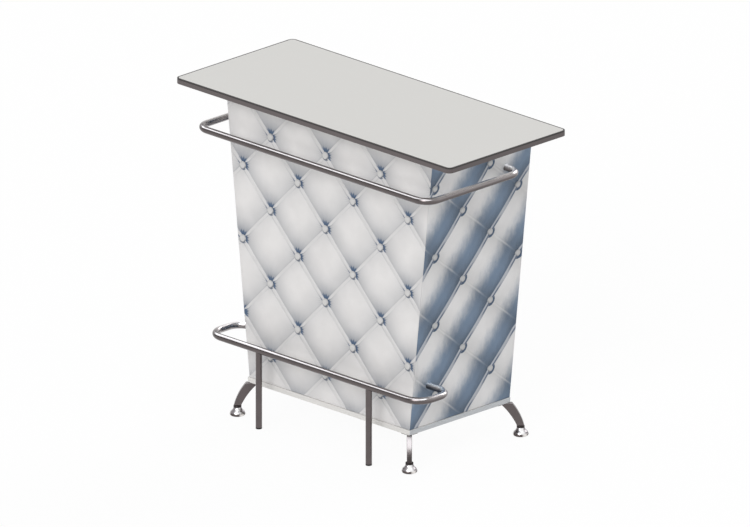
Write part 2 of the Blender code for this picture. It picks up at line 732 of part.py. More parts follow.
def legs(root, leg_finish, collar_finish, foot_finish):
    top = BODY_CLEARANCE - FIT
    stud_hole_top = FOOT_HEIGHT + STUD_LENGTH + BORE_CLEARANCE
    collar_bore = STUD_RADIUS + RUNNING_CLEARANCE
    collar_profile = [
        (collar_bore, COLLAR_BOTTOM),
        (COLLAR_RADIUS - SMALL_CHAMFER, COLLAR_BOTTOM),
        (COLLAR_RADIUS, COLLAR_BOTTOM + SMALL_CHAMFER),
        (COLLAR_RADIUS, COLLAR_BOTTOM + COLLAR_HEIGHT - SMALL_CHAMFER),
        (COLLAR_RADIUS - SMALL_CHAMFER, COLLAR_BOTTOM + COLLAR_HEIGHT),
        (collar_bore, COLLAR_BOTTOM + COLLAR_HEIGHT),
        (collar_bore, COLLAR_BOTTOM),
    ]
    for end, depth, toward_y in (("front", BODY_FRONT, -1), ("rear", BODY_REAR, 1)):
        for side in (-1, 1):
            corner = Vector((side * half_length(BODY_CLEARANCE), depth, 0))
            turn = Matrix.Rotation(math.atan2(toward_y, side), 4, "Z")
            place = Matrix.Translation(corner) @ turn
            name = f"{end}_{side_name(side)}"
            foot = Matrix.Translation(corner + Vector((side * FOOT_OFFSET, toward_y * FOOT_OFFSET, 0)))
            half = LEG_THICKNESS / 2
            bm = prism([(point.x, -half, point.y) for point in leg_outline()], (0, LEG_THICKNESS, 0))
            leg = piece(f"{name}_leg", bm, leg_finish, root, smooth=True)
            leg.matrix_local = place
            plate_points = [(*point, top - LEG_PLATE_THICKNESS) for point in leg_plate_outline()]
            plate = guide_shape(f"{name}_leg_plate", prism(plate_points, (0, 0, LEG_PLATE_THICKNESS)), root)
            plate.matrix_local = place
            stud_hole = rod(collar_bore, (0, 0, 0), (0, 0, stud_hole_top), ROUND_SIDES)
            hole = guide_shape(f"{name}_stud_hole", stud_hole, root)
            hole.matrix_local = foot
            combine(leg, plate, "UNION")
            combine(leg, hole, "DIFFERENCE")
            collar = turned(collar_profile, ROUND_SIDES)
            piece(f"{name}_collar", collar, collar_finish, root, smooth=True).matrix_local = foot
            bell = turned(foot_profile(), ROUND_SIDES)
            piece(f"{name}_foot", bell, foot_finish, root, smooth=True).matrix_local = foot


def foot_profile():
    """A bell foot with its stud: a flat sole, a round rim, a hollow flank and the stud above the neck."""
    points = [(0, 0), (FOOT_SOLE_RADIUS, 0)]
    for step in range(1, 4):
        angle = math.pi * (step - 2) / 4
        rim = FOOT_RIM_HEIGHT / 2
        points.append((FOOT_RADIUS - rim + rim * math.cos(angle), rim + rim * math.sin(angle)))
    for step in range(1, 5):
        share = step / 4
        radius = FOOT_NECK_RADIUS + (FOOT_RADIUS - FOOT_NECK_RADIUS) * (1 - share) ** FOOT_FLANK_CURVE
        points.append((radius, FOOT_RIM_HEIGHT + (FOOT_HEIGHT - FOOT_RIM_HEIGHT) * share))
    stud_top = FOOT_HEIGHT + STUD_LENGTH
    return points + [(STUD_RADIUS, FOOT_HEIGHT), (STUD_RADIUS, stud_top), (0, stud_top)]


def hinge_axis(side):
    """The door's hinge line at the middle of its gap, leaning with the side panel, as a frame with Z along it."""
    low = BASE_TOP + DOOR_END_GAP
    high = SHELF_UNDERSIDE - DOOR_END_GAP
    height = (low + high) / 2
    reach = inside_face(height) - DOOR_SIDE_GAP * LEAN_STRETCH / 2
    spot = (side * reach, BODY_REAR + FIT + KNUCKLE_OUTER, height)
    return Matrix.Translation(spot) @ Matrix.Rotation(side * LEAN_ANGLE, 4, "Y")


def door(root, finish, side):
    low = BASE_TOP + DOOR_END_GAP
    high = SHELF_UNDERSIDE - DOOR_END_GAP
    gap = DOOR_SIDE_GAP * LEAN_STRETCH
    outline = [
        (DOOR_MEETING_GAP / 2, DOOR_BACK, low),
        (inside_face(low) - gap, DOOR_BACK, low),
        (inside_face(high) - gap, DOOR_BACK, high),
        (DOOR_MEETING_GAP / 2, DOOR_BACK, high),
    ]
    empty(f"{side_name(side)}_door_axis", root, hinge_axis(side))
    made = piece(f"{side_name(side)}_door", mirrored(prism(outline, (0, BOARD, 0)), side), finish, root)
    swinging(made, side)


def hinge_leaf(width, rows, rolled):
    """A sheet leaf towards +X in three rows, with the rows named in rolled curled round the pin's axis."""
    bm = bmesh.new()
    clear = KNUCKLE_OUTER + KNUCKLE_GAP
    columns = []
    for height in rows:
        columns.append([bm.verts.new((clear, depth, height)) for depth in (-KNUCKLE_OUTER, -KNUCKLE_INNER)])
    faces = [bm.faces.new((*low, *reversed(high))) for low, high in zip(columns, columns[1:])]
    run_on(bm, faces, (width - clear, 0, 0), first=True)
    for row in rolled:
        tongue = run_on(bm, [faces[row]], (-clear, 0, 0))
        bend(bm, tongue, (0, 0, 0), (0, 0, 1), -KNUCKLE_TURN, SMALL_SIDES)
    return bm


def hinges(root, finish, side):
    """Two butt hinges on a door: a frame leaf, a door leaf and a headed pin each."""
    third = HINGE_HEIGHT / 6
    ends = HINGE_HEIGHT / 2
    frame_rows = (-ends, -third, third, ends)
    door_rows = (-ends, -third + KNUCKLE_GAP, third - KNUCKLE_GAP, ends)
    pin_profile = [
        (0, -ends),
        (PIN_RADIUS, -ends),
        (PIN_RADIUS, ends + FIT),
        (PIN_HEAD_RADIUS, ends + FIT),
        (PIN_CROWN_RADIUS, ends + FIT + PIN_HEAD_HEIGHT),
        (0, ends + FIT + PIN_HEAD_HEIGHT),
    ]
    door_half = (SHELF_UNDERSIDE - BASE_TOP) / 2 - DOOR_END_GAP
    offset = (door_half - HINGE_INSET) * LEAN_STRETCH
    for level, along in (("lower", -offset), ("upper", offset)):
        name = f"{side_name(side)}_door_{level}_hinge"
        place = hinge_axis(1) @ Matrix.Translation((0, 0, along))
        frame_leaf = hinge_leaf(FRAME_LEAF_WIDTH, frame_rows, (0, 2))
        door_leaf = hinge_leaf(DOOR_LEAF_WIDTH, door_rows, (1,))
        bmesh.ops.scale(door_leaf, vec=(-1, 1, 1), verts=door_leaf.verts)
        for bm in (frame_leaf, door_leaf):
            bmesh.ops.transform(bm, matrix=place, verts=bm.verts)
            mirrored(bm, side)
        piece(f"{name}_frame_leaf", frame_leaf, finish, root, smooth=True)
        swinging(piece(f"{name}_door_leaf", door_leaf, finish, root, smooth=True), side)
        pin = mirrored(turned(pin_profile, SMALL_SIDES, place), side)
        piece(f"{name}_pin", pin, finish, root, smooth=True)


def knob(root, finish, side):
    """A turned knob on the door's outer face, near its free edge."""
    profile = [
        (0, 0),
        (KNOB_FLANGE_RADIUS, 0),
        (KNOB_NECK_RADIUS, KNOB_NECK_START),
        (KNOB_NECK_RADIUS, KNOB_NECK_END),
    ]
    crown = KNOB_LENGTH - KNOB_CROWN_START
    for step in range(5):
        angle = math.pi / 2 * step / 4
        profile.append((KNOB_RADIUS * math.cos(angle), KNOB_CROWN_START + crown * math.sin(angle)))
    height = SHELF_UNDERSIDE - KNOB_DROP
    seat = Matrix.Translation((KNOB_INSET, BODY_REAR + FIT, height)) @ Matrix.Rotation(-math.pi / 2, 4, "X")
    bm = mirrored(turned(profile, ROUND_SIDES, seat), side)
    swinging(piece(f"{side_name(side)}_door_knob", bm, finish, root, smooth=True), side)


def chamfered_box(low, high):
    bm = bmesh.new()
    size = Vector(high) - Vector(low)
    middle = (Vector(high) + Vector(low)) / 2
    bmesh.ops.create_cube(bm, size=1, matrix=Matrix.Translation(middle) @ Matrix.Diagonal((*size, 1)))
    width = min(SMALL_CHAMFER, min(size) / 4)
    bmesh.ops.bevel(bm, geom=list(bm.edges), offset=width, segments=1, profile=0.5, affect="EDGES", material=-1)
    return bm


def catch(root, finish, strike_finish, side):
    """A magnetic catch under the middle shelf and its strike plate on the door."""
    top = SHELF_UNDERSIDE - FIT
    strike_back = DOOR_BACK - FIT
    strike_face = strike_back - STRIKE_THICKNESS
    catch_rear = strike_face - DOOR_STOP_GAP
    low = (CATCH_INSET, catch_rear - CATCH_DEPTH, top - CATCH_HEIGHT)
    high = (CATCH_INSET + CATCH_LENGTH, catch_rear, top)
    piece(f"{side_name(side)}_door_catch", mirrored(chamfered_box(low, high), side), finish, root)
    start = CATCH_INSET + (CATCH_LENGTH - STRIKE_LENGTH) / 2
    strike_middle = top - CATCH_HEIGHT / 2 - DOOR_END_GAP / 2
    strike_low = (start, strike_face, strike_middle - STRIKE_HEIGHT / 2)
    strike_high = (start + STRIKE_LENGTH, strike_back, strike_middle + STRIKE_HEIGHT / 2)
    strike = piece(f"{side_name(side)}_door_strike", mirrored(chamfered_box(strike_low, strike_high), side),
                   strike_finish, root)
    swinging(strike, side)


def main():
    clear_scene()
    pale_laminate = material("pale_laminate", (215, 214, 211), 0.35)
    dark_band = material("dark_edge_band", (98, 90, 90), 0.5)
    board = material("white_board", (219, 219, 215), 0.5)
    leather = material("white_leather", (223, 221, 220), 0.45)
    metal = material("dark_chrome", (150, 144, 142), 0.18, 1.0)
    dark_metal = material("dark_collar", (70, 64, 64), 0.35, 1.0)
    steel = material("bright_steel", (190, 190, 190), 0.3, 1.0)
    plastic = material("black_plastic", (40, 38, 38), 0.5)

    root = empty("bar_cabinet", None, Matrix.Translation((0, -middle_of_space(), 0)))
    for name, height, end in (
        ("hand_rail", HAND_RAIL_HEIGHT, HAND_RAIL_END),
        ("foot_rail", FOOT_RAIL_HEIGHT, FOOT_RAIL_END),
    ):
        rail_holes(root, name, height, end)
        rail_bolts(root, steel, name, height, end)
    rail("hand_rail", root, metal, HAND_RAIL_HEIGHT, HAND_RAIL_INSET, HAND_RAIL_STAND_OFF, HAND_RAIL_END,
         HAND_RAIL_FRONT_BEND, HAND_RAIL_END_BEND)
    rail("foot_rail", root, metal, FOOT_RAIL_HEIGHT, FOOT_RAIL_INSET, FOOT_RAIL_STAND_OFF, FOOT_RAIL_END,
         FOOT_RAIL_FRONT_BEND, FOOT_RAIL_END_BEND)
    worktop(root, pale_laminate)
    edge_band(root, dark_band)
    carcass(root, board, board)
    front_pad(root, leather)
    posts(root, metal, plastic)
    legs(root, metal, dark_metal, metal)
    for side in (-1, 1):
        side_pad(root, leather, side)
        door(root, board, side)
        hinges(root, steel, side)
        knob(root, metal, side)
        catch(root, plastic, steel, side)


main()
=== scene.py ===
"""Looks of the bar cabinet: button-tufted leather pads, bent dark chrome rails, sabre legs on bell feet,
a laminate worktop with a dark edge band, and white boards with doors at the rear.

Metres, +Z up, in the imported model's frame. Guests stand at -Y and the doors face +Y.
"""

import math
from dataclasses import dataclass

import bmesh
import bpy
import numpy as np
from bmesh.types import BMEdge, BMFace, BMVert
from mathutils import Matrix, Vector

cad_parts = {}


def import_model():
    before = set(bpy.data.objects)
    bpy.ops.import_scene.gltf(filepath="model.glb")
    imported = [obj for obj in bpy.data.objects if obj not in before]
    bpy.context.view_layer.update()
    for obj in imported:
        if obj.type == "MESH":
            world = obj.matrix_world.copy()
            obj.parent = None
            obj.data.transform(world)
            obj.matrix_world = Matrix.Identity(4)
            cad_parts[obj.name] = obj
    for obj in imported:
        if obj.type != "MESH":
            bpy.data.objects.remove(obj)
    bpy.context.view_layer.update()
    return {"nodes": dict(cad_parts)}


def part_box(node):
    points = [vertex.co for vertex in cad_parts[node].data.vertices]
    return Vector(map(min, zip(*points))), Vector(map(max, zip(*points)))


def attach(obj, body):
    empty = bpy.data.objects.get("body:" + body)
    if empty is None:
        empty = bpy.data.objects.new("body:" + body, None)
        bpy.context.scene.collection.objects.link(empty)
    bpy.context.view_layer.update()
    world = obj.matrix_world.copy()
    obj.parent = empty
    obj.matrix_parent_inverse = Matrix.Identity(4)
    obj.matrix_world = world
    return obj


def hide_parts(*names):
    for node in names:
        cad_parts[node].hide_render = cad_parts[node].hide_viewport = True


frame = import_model()

# The photograph: a parallel view from the front right corner
VIEW_DIRECTION = Vector((2, -2, 1)).normalized()
VIEW_CENTRE = Vector((0.00874, -0.00775, 0.538))
VIEW_WIDTH = 2.3163
VIEW_DISTANCE = 8.0

# Planes of the body, read from the frame
BASE_LOW, BASE_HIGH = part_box("base_panel")
BODY_FRONT, BASE_BOTTOM = BASE_LOW.yz
BODY_REAR, BASE_TOP = BASE_HIGH.yz
TOP_LOW, TOP_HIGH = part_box("worktop_edge_band")
BODY_TOP = TOP_LOW.z
SIDE_LEAN = 0.111
LEAN_ANGLE = math.atan(SIDE_LEAN)
LEAN_STRETCH = 1 / math.cos(LEAN_ANGLE)
FIT = 0.0003

# Worktop
TOP_CORNER_RADIUS = 0.018
EDGE_BAND = 0.003
TOP_EDGE_ROUNDING = 0.0004
DARK_RING_WIDTH = 0.0018
DARK_RING_FADE = 0.0004
BAND_TOP_DARK_FROM = 0.0050
BAND_TOP_DARK_TO = 0.0030

# Tufted pads
PAD_THICKNESS = 0.024
PAD_RIM = 0.021
RIM_ROLL = 0.0015
RIM_BLEND = 0.014
RIM_CUTS = (0.0004, 0.001, 0.002, 0.005)
FOLD_HEIGHT = 0.0185
BUTTON_SEAT = 0.016
TUFT_PITCH = 0.240
TUFT_CELL = TUFT_PITCH / math.sqrt(2)
TUFT_STEPS = 56
TUFT_CROWDING = 0.7
TUFT_TOP_ROW = 0.1138
FRONT_TUFT_SHIFT = -0.0205
SIDE_TUFT_START = 0.0262
SIDE_TUFT_DROP = 0.1135
SIDE_TUFT_TURN = math.radians(6.3)
LATTICE_REACH = 12
FOLD_SHARPNESS = 0.8
PILLOW_FULLNESS = 0.55
WELT_HEIGHT = 0.0022
FRONT_WELT_WIDTH = 0.0145
SIDE_WELT_WIDTH = 0.0150
FAINT_WELT_HEIGHT = 0.0008
FAINT_WELT_WIDTH = 0.0090
STITCH_LENGTH = 0.0056
FADE_CURVE = 1.6
PLEAT_COUNT = 17
PLEAT_DEPTH = 0.0013
PLEAT_REACH = 0.013
PLEAT_START = 0.004
MITRE_CLEARANCE = 0.002
FRONT_BUTTON_RADIUS = 0.0132
SIDE_BUTTON_RADIUS = 0.0114
BUTTON_RISE = 0.0043
BUTTON_SIDES = 28
BUTTON_STEPS = 6
BUTTON_UNDERSIDE = ((0.97, -0.0012), (0.86, -0.0024), (0, -0.0026))
RAIL_DIMPLE = 0.0012
RAIL_DIMPLE_REACH = 0.004

# Rails and posts, measured to the tube's axis
RAILS = {
    "hand_rail": {"height": 0.925, "half": 0.503, "stand_off": 0.074, "reach": 0.336,
                  "front_bend": 0.046, "end_bend": 0.045},
    "foot_rail": {"height": 0.257, "half": 0.460, "stand_off": 0.065, "reach": 0.073,
                  "front_bend": 0.055, "end_bend": 0.049},
}
RAIL_RADIUS = 0.011
RAIL_SIDES = 40
BEND_STEPS = 20
TUBE_SUNK = 0.020
POST_RADIUS = 0.010
POST_BEVEL = 0.0006

# Painted highlight, painted shade and a painted dark reflection line in the rails' finish
DARK_LINE_ANGLE = math.radians(58)
DARK_LINE_SPREAD = math.radians(11)
UNDER_SHADE = 0.30
TOP_HIGHLIGHT = 0.36
END_HIGHLIGHT = 0.30
CROWN_HIGHLIGHT = 0.95
INNER_HIGHLIGHT = 0.45

# Legs and feet
LEG_THICKNESS = 0.016
LEG_ROOT_WIDTH = 0.039
LEG_ROOT_INSET = 0.0135
LEG_ANKLE_WIDTH = 0.022
LEG_REACH = 0.0325
LEG_BULGE = 0.0048
LEG_BEVEL = 0.0014
LEG_STEPS = 24
LEG_SHADE = 0.75
LEG_SHADE_TOP = 0.078
LEG_SHADE_SPAN = 0.030
LEG_PLATE_LENGTH = 0.074
LEG_PLATE_WIDTH = 0.056
LEG_PLATE_THICKNESS = 0.004
LEG_PLATE_MARGIN = 0.006 * math.sqrt(2)
LEG_PLATE_CORNER = 0.006
LEG_PLATE_BEVEL = 0.0006
LEG_SCREW_SHARES = ((0.2, 0.62), (0.2, -0.62), (0.85, 0.62), (0.85, -0.62))
COLLAR_RADIUS = 0.0125
COLLAR_HEIGHT = 0.0055
TURNED_EDGE = 0.001
FOOT_RADIUS = 0.0245
FOOT_NECK_RADIUS = 0.0125
FOOT_NECK_EASING = 0.0012
FOOT_HEIGHT = 0.027
FOOT_RIM_HEIGHT = 0.012
FOOT_SOLE_RADIUS = 0.0205
FOOT_SOLE_EASING = (0.002, 0.0004)
FOOT_FLANK_CURVE = 1.8
FOOT_FLANK_STEPS = 14
FOOT_SIDES = 64
STUD_RADIUS = 0.004
STUD_LENGTH = 0.018
THREAD_PITCH = 0.00125
THREAD_DEPTH = 0.0006

# Small hardware
BOARD_BEVEL = 0.0007
BOARD_END_FROM = 0.0012
BOARD_END_TO = 0.0006
METAL_BEVEL = 0.0003
HINGE_BEVEL = 0.00018
CATCH_BEVEL = 0.0006
KNOB_RADIUS = 0.013
KNOB_LENGTH = 0.024
KNOB_BELLY = 0.0175
KNOB_STEPS = 8
KNOB_STEM = [(0, 0), (0.0082, 0), (0.0082, 0.0012), (0.0066, 0.0030), (0.0056, 0.0055), (0.0054, 0.0085),
             (0.0062, 0.0112), (0.0090, 0.0138), (0.0118, 0.0158)]
SCREW_RADIUS = 0.0034
SCREW_RISE = 0.0009
SCREW_RECESS = 0.0007
SCREW_DOME = 0.7
SCREW_LINES = (-1, -0.6, -0.16, 0.16, 0.6, 1)
LEAF_THICKNESS = 0.0015
HINGE_SCREW_SPACING = 0.0165
FRAME_SCREW_REACH = 0.0098
DOOR_SCREW_REACH = 0.0150
CATCH_SCREW_SHARES = (0.2, 0.8)

# Light: lamps by name, strength, direction and angle
SKY_STRENGTH = 0.47
LAMPS = (
    ("key", 1.36, (0.28, -0.80, 0.50), 34),
    ("rear", 0.9, (0, 0.87, 0.49), 34),
    ("overhead", 0.42, (0.08, -0.04, 1), 45),
)
CHROME_LAMPS = (
    ("soft_box", 5.0, (-0.667, -0.04, 0.744), 50),
    ("corner_box", 5.0, (0.32, -0.32, 0.89), 58),
)
WHITE_GLOW = (1, 1, 1)
COOL_GLOW = (0.86, 0.97, 1.0)
FLOOR_GLOW = 0.94
FLOOR_HALF = 20.0


def linear(level):
    """One display colour level, 0 to 255, as linear light."""
    share = level / 255
    return share / 12.92 if share <= 0.04045 else ((share + 0.055) / 1.055) ** 2.4


def colour(red, green, blue):
    return (linear(red), linear(green), linear(blue), 1)


def dimmed(shade, share):
    return tuple(level * share for level in shade[:3]) + (1,)


# Shader nodes

class Signal:
    """A value that varies over a surface: the output of a shader node, used in formulas like a number."""

    def __init__(self, tree, socket):
        self.tree = tree
        self.socket = socket

    def __add__(self, other):
        return calc("ADD", self, other)

    def __sub__(self, other):
        return calc("SUBTRACT", self, other)

    def __rsub__(self, other):
        return calc("SUBTRACT", other, self)

    def __mul__(self, other):
        return calc("MULTIPLY", self, other)

    def __truediv__(self, other):
        return calc("DIVIDE", self, other)

    def __abs__(self):
        return calc("ABSOLUTE", self)


def feed(tree, made, inputs):
    """Links signals to a node's inputs and sets plain values on them."""
    for key, value in inputs.items():
        if isinstance(value, Signal):
            tree.links.new(value.socket, made.inputs[key])
        else:
            made.inputs[key].default_value = value


def put(tree, kind, inputs=(), **settings):
    """Adds a node and gives back its outputs as signals, by name and by number."""
    made = tree.nodes.new(f"ShaderNode{kind}")
    for name, value in settings.items():
        setattr(made, name, value)
    feed(tree, made, dict(inputs))
    return {key: Signal(tree, socket) for number, socket in enumerate(made.outputs)
            for key in (socket.name, number)}


def calc(operation, *values):
    tree = next(value.tree for value in values if isinstance(value, Signal))
    return put(tree, "Math", enumerate(values), operation=operation)[0]


def ramp(value, start, end, first=0.0, last=1.0):
    """A smooth change from first to last while value goes from start to end."""
    inputs = {"Value": value, "From Min": start, "From Max": end, "To Min": first, "To Max": last}
    return put(value.tree, "MapRange", inputs, interpolation_type="SMOOTHSTEP")["Result"]


def fading(distance, reach, strength):
    """A mask that falls from strength at no distance to nothing at its reach."""
    left = calc("MAXIMUM", 1.0 - distance / reach, 0.0)
    return calc("POWER", left, FADE_CURVE) * strength


def bell(value, centre, spread):
    """A mask of 1 at the centre that falls away to both sides."""
    away = (value - centre) / spread
    return calc("EXPONENT", away * away * -1.0)


def pick(share, first, second):
    """Mixes two values by a mask."""
    return put(share.tree, "Mix", {0: share, 2: first, 3: second})[0]


def tint(share, first, second):
    """Mixes two colours by a mask."""
    return put(share.tree, "Mix", {0: share, 6: first, 7: second}, data_type="RGBA")[2]


def toned(shade, value):
    return put(shade.tree, "HueSaturation", {"Color": shade, "Value": value})[0]


def noise(place, scale, detail, roughness=0.5):
    inputs = {"Vector": place, "Scale": scale, "Detail": detail, "Roughness": roughness}
    return put(place.tree, "TexNoise", inputs)["Fac"]


def stretched(place, scale):
    return put(place.tree, "Mapping", {"Vector": place, "Scale": scale})[0]


def parts(vector):
    split = put(vector.tree, "SeparateXYZ", {0: vector})
    return split[0], split[1], split[2]


def length(across, along):
    span = put(across.tree, "CombineXYZ", {0: across, 1: along})[0]
    return put(across.tree, "VectorMath", {0: span}, operation="LENGTH")["Value"]


def bump(height, strength, distance):
    return put(height.tree, "Bump", {"Height": height, "Strength": strength, "Distance": distance})[0]


def object_place(tree):
    return put(tree, "TexCoord")["Object"]


def stored(tree, name):
    """What a mesh holds for each of its points under this name."""
    return put(tree, "Attribute", attribute_name=name)


def seen_directly(tree):
    """1 for what the camera sees, also in a mirror or through glass, and 0 for light that spreads."""
    path = put(tree, "LightPath")
    return calc("MAXIMUM", path["Is Camera Ray"],
                calc("MAXIMUM", path["Is Glossy Ray"], path["Is Transmission Ray"]))


# Effects that more than one material uses

def shader_group(build):
    """A node group with one place as its input; its outputs are the signals that build makes of it."""
    tree = bpy.data.node_groups.new(build.__name__, "ShaderNodeTree")
    tree.interface.new_socket("Place", in_out="INPUT", socket_type="NodeSocketVector")
    results = build(Signal(tree, tree.nodes.new("NodeGroupInput").outputs[0]))
    for label in results:
        tree.interface.new_socket(label, in_out="OUTPUT", socket_type="NodeSocketFloat")
    feed(tree, tree.nodes.new("NodeGroupOutput"), results)
    return tree


def use_group(group, place):
    return put(place.tree, "Group", {"Place": place}, node_tree=group)


def tuft_places(place):
    """Where a point lies among the tufts: welts are at whole lattice numbers, buttons where they cross."""
    strong, faint, _ = parts(place)
    off_strong = strong - calc("ROUND", strong)
    off_faint = faint - calc("ROUND", faint)
    return {
        "Above Strong": calc("FRACT", strong), "Above Faint": calc("FRACT", faint),
        "Off Strong": off_strong, "Off Faint": off_faint,
        "To Button": length(off_strong, off_faint), "Turn": calc("ARCTAN2", off_faint, off_strong),
    }


def leather_grain(place):
    """Pebbled leather grain with fine creases, and a slow mottling of its tone."""
    pebbles = put(place.tree, "TexVoronoi", {"Vector": place, "Scale": 620.0}, feature="DISTANCE_TO_EDGE")
    creases = noise(place, 190.0, 4.0)
    height = ramp(pebbles["Distance"], 0.0, 0.25, 0.0, 0.6) + creases * 0.5
    return {"Height": height, "Tone": noise(place, 16.0, 3.0), "Gloss": creases}


def handled_metal(place):
    """Fine polishing lines and faint hand marks that vary a metal's roughness."""
    smears = noise(place, 34.0, 4.0, 0.6)
    lines = noise(stretched(place, (260.0, 260.0, 2600.0)), 1.0, 2.0)
    return {"Marks": ramp(smears, 0.35, 0.75), "Lines": lines}


def board_grain(place):
    """The shallow emboss of a melamine or laminate face, and its fine speckle."""
    return {"Height": noise(place, 520.0, 3.0), "Speckle": ramp(noise(place, 900.0, 2.0), 0.35, 0.65)}


TUFT_PLACES = shader_group(tuft_places)
LEATHER_GRAIN = shader_group(leather_grain)
HANDLED_METAL = shader_group(handled_metal)
BOARD_GRAIN = shader_group(board_grain)


# Materials

def new_material(name):
    made = bpy.data.materials.new(name)
    made.use_nodes = True
    return made, made.node_tree


def surface(made, **values):
    """Sets plain values and signals on a material's own shader."""
    shader = made.node_tree.nodes["Principled BSDF"]
    feed(made.node_tree, shader, {label.replace("_", " "): value for label, value in values.items()})
    return made


def tufted(name):
    """A new leather, its lattice numbers, and where a point lies among its tufts."""
    made, tree = new_material(name)
    lattice = put(tree, "UVMap", uv_map="tufts")[0]
    return made, lattice, use_group(TUFT_PLACES, lattice)


def leather_finish(made, tone, stitches=None):
    """Grain, mottling and gloss that all the leather shares, over its colour."""
    grain = use_group(LEATHER_GRAIN, object_place(made.node_tree))
    height = grain["Height"] + stitches if stitches else grain["Height"]
    return surface(made, Base_Color=tint(ramp(grain["Tone"], 0.35, 0.7), toned(tone, 0.95), tone),
                   Roughness=ramp(grain["Gloss"], 0.3, 0.7, 0.42, 0.55), Normal=bump(height, 0.25, 0.0005))


def front_leather():
    """White leather with painted shade: cool grey painted into the folds, beside the welts, under each button
    and along its pleats, and deep blue painted shade in the pleats above each button.
    """
    made, _, tuft = tufted("front_leather")
    above, across = tuft["Above Strong"], tuft["Above Faint"]
    off_strong, off_faint, to_button = tuft["Off Strong"], tuft["Off Faint"], tuft["To Button"]
    diagonal = off_strong + off_faint
    # Painted shade: cool grey that falls off from the strong and faint welts into each tuft, with a light
    # even shade on the welts themselves.
    folds = (fading(above, 0.5, 0.50) + fading(across, 0.5, 0.38)
             + fading(1.0 - above, 0.3, 0.07) + fading(1.0 - across, 0.4, 0.16))
    folds = pick(ramp(abs(off_faint), 0.020, 0.030, 1.0, 0.0), folds, 0.15)
    folds = pick(ramp(abs(off_strong), 0.036, 0.044, 1.0, 0.0), folds, 0.14)
    # Painted shade in thin lines beside the welts, weaker away from the buttons.
    seam_line = bell(off_strong, -0.048, 0.011)
    faint_lines = bell(off_faint, -0.034, 0.008) + bell(off_faint, 0.034, 0.008)
    folds += (seam_line * 0.28 + faint_lines * 0.16) * ramp(to_button, 0.08, 0.45, 1.0, 0.3)
    # Painted shadow under each button.
    under = ramp(diagonal, -0.06, -0.10) * ramp(to_button, 0.090, 0.102, 1.0, 0.0)
    folds = calc("MAXIMUM", folds, under * 0.75)
    # Deep blue painted shade in the pleats above and beside each button, under it, and in a dash below the
    # strong welt.
    reach = to_button + calc("SINE", tuft["Turn"] * PLEAT_COUNT) * 0.020
    upper = ramp(off_strong, 0.024, 0.042)
    over = upper * ramp(off_faint, 0.010, 0.030)
    beside = upper * ramp(off_faint, -0.004, -0.022)
    fan = over * (ramp(reach, 0.13, 0.18, 0.75, 0.0) + fading(reach, 0.42, 0.45))
    corner = beside * ramp(reach, 0.105, 0.165, 1.0, 0.0)
    bridge = upper * ramp(reach, 0.085, 0.115, 1.0, 0.0)
    dash = (ramp(off_strong, -0.026, -0.036) * ramp(off_strong, -0.060, -0.048)
            * ramp(off_faint, 0.05, 0.07) * ramp(off_faint, 0.11, 0.16, 0.9, 0.0))
    blue = calc("MINIMUM", fan + corner + bridge + dash + under * 0.6, 1.0)
    # Painted shade along pleat rays round each button.
    rays = ramp(calc("SINE", tuft["Turn"] * (PLEAT_COUNT * 1.6)), 0.25, 0.95)
    rays = rays * fading(to_button, 0.26, 0.8) * ramp(to_button, 0.07, 0.10)
    folds += rays * ramp(diagonal, -0.16, 0.1, 0.25, 1.0)
    shaded = tint(folds, colour(225, 223, 222), colour(117, 123, 133))
    return leather_finish(made, tint(blue, shaded, colour(70, 92, 120)))


def side_leather():
    """The same leather on the sides, with deep blue painted shade along the upper side of each welt, painted
    shade in the grooves and a painted shadow crescent by each button; the welts are pale and stitched.
    """
    made, lattice, tuft = tufted("side_leather")
    off_strong, off_faint, to_button = tuft["Off Strong"], tuft["Off Faint"], tuft["To Button"]
    white = colour(227, 226, 226)
    blue = colour(110, 131, 155)
    dark = colour(86, 105, 127)
    cloud = noise(stretched(object_place(made.node_tree), (60.0, 60.0, 26.0)), 1.0, 6.0, 0.62)
    # Painted shade: a deep blue band along the upper side of each strong welt, fading to white through a
    # cloudy edge.
    above = tuft["Above Strong"] + (cloud - 0.5) * 0.24
    band = ramp(above, 0.30, 0.75, 1.0, 0.0)
    painted_light = tint(band, white, tint(ramp(above, 0.03, 0.26), dark, blue))
    # More painted shade beside the faint welts, and less of it along their ridges.
    deeper = fading(abs(off_faint), 0.5, 0.72) * ramp(band, 0.0, 1.0, 0.85, 1.8)
    painted_light = tint(calc("MINIMUM", deeper, 1.0), painted_light, toned(painted_light, 0.68))
    clear = ramp(tuft["Above Strong"], 0.15, 0.5, 0.04, 0.36)
    painted_light = tint(bell(off_faint, 0.0, 0.018) * clear, painted_light, white)
    welt_gap = abs(off_strong)
    painted_light = tint(ramp(welt_gap, 0.038, 0.046, 0.95, 0.0), painted_light, colour(185, 188, 195))
    # Painted shade in the groove by each button, and a painted shadow crescent below it.
    groove = bell(off_strong, -0.010, 0.016) * ramp(to_button, 0.22, 0.42, 1.0, 0.15)
    crescent = ramp(off_strong, -0.014, -0.038) * ramp(to_button, 0.112, 0.126, 1.0, 0.0)
    painted_light = tint(calc("MAXIMUM", groove, crescent), painted_light, colour(66, 86, 111))
    stitch = calc("SINE", parts(lattice)[1] * (math.tau * TUFT_CELL / STITCH_LENGTH))
    ticks = (ramp(off_strong, -0.046, -0.038) * ramp(off_strong, -0.010, -0.018)
             * ramp(stitch, -0.3, 0.3, 0.34, 0.0))
    on_welt = ramp(welt_gap, 0.040, 0.050, 1.0, 0.0)
    return leather_finish(made, tint(ticks, painted_light, dark), on_welt * stitch * 0.9)


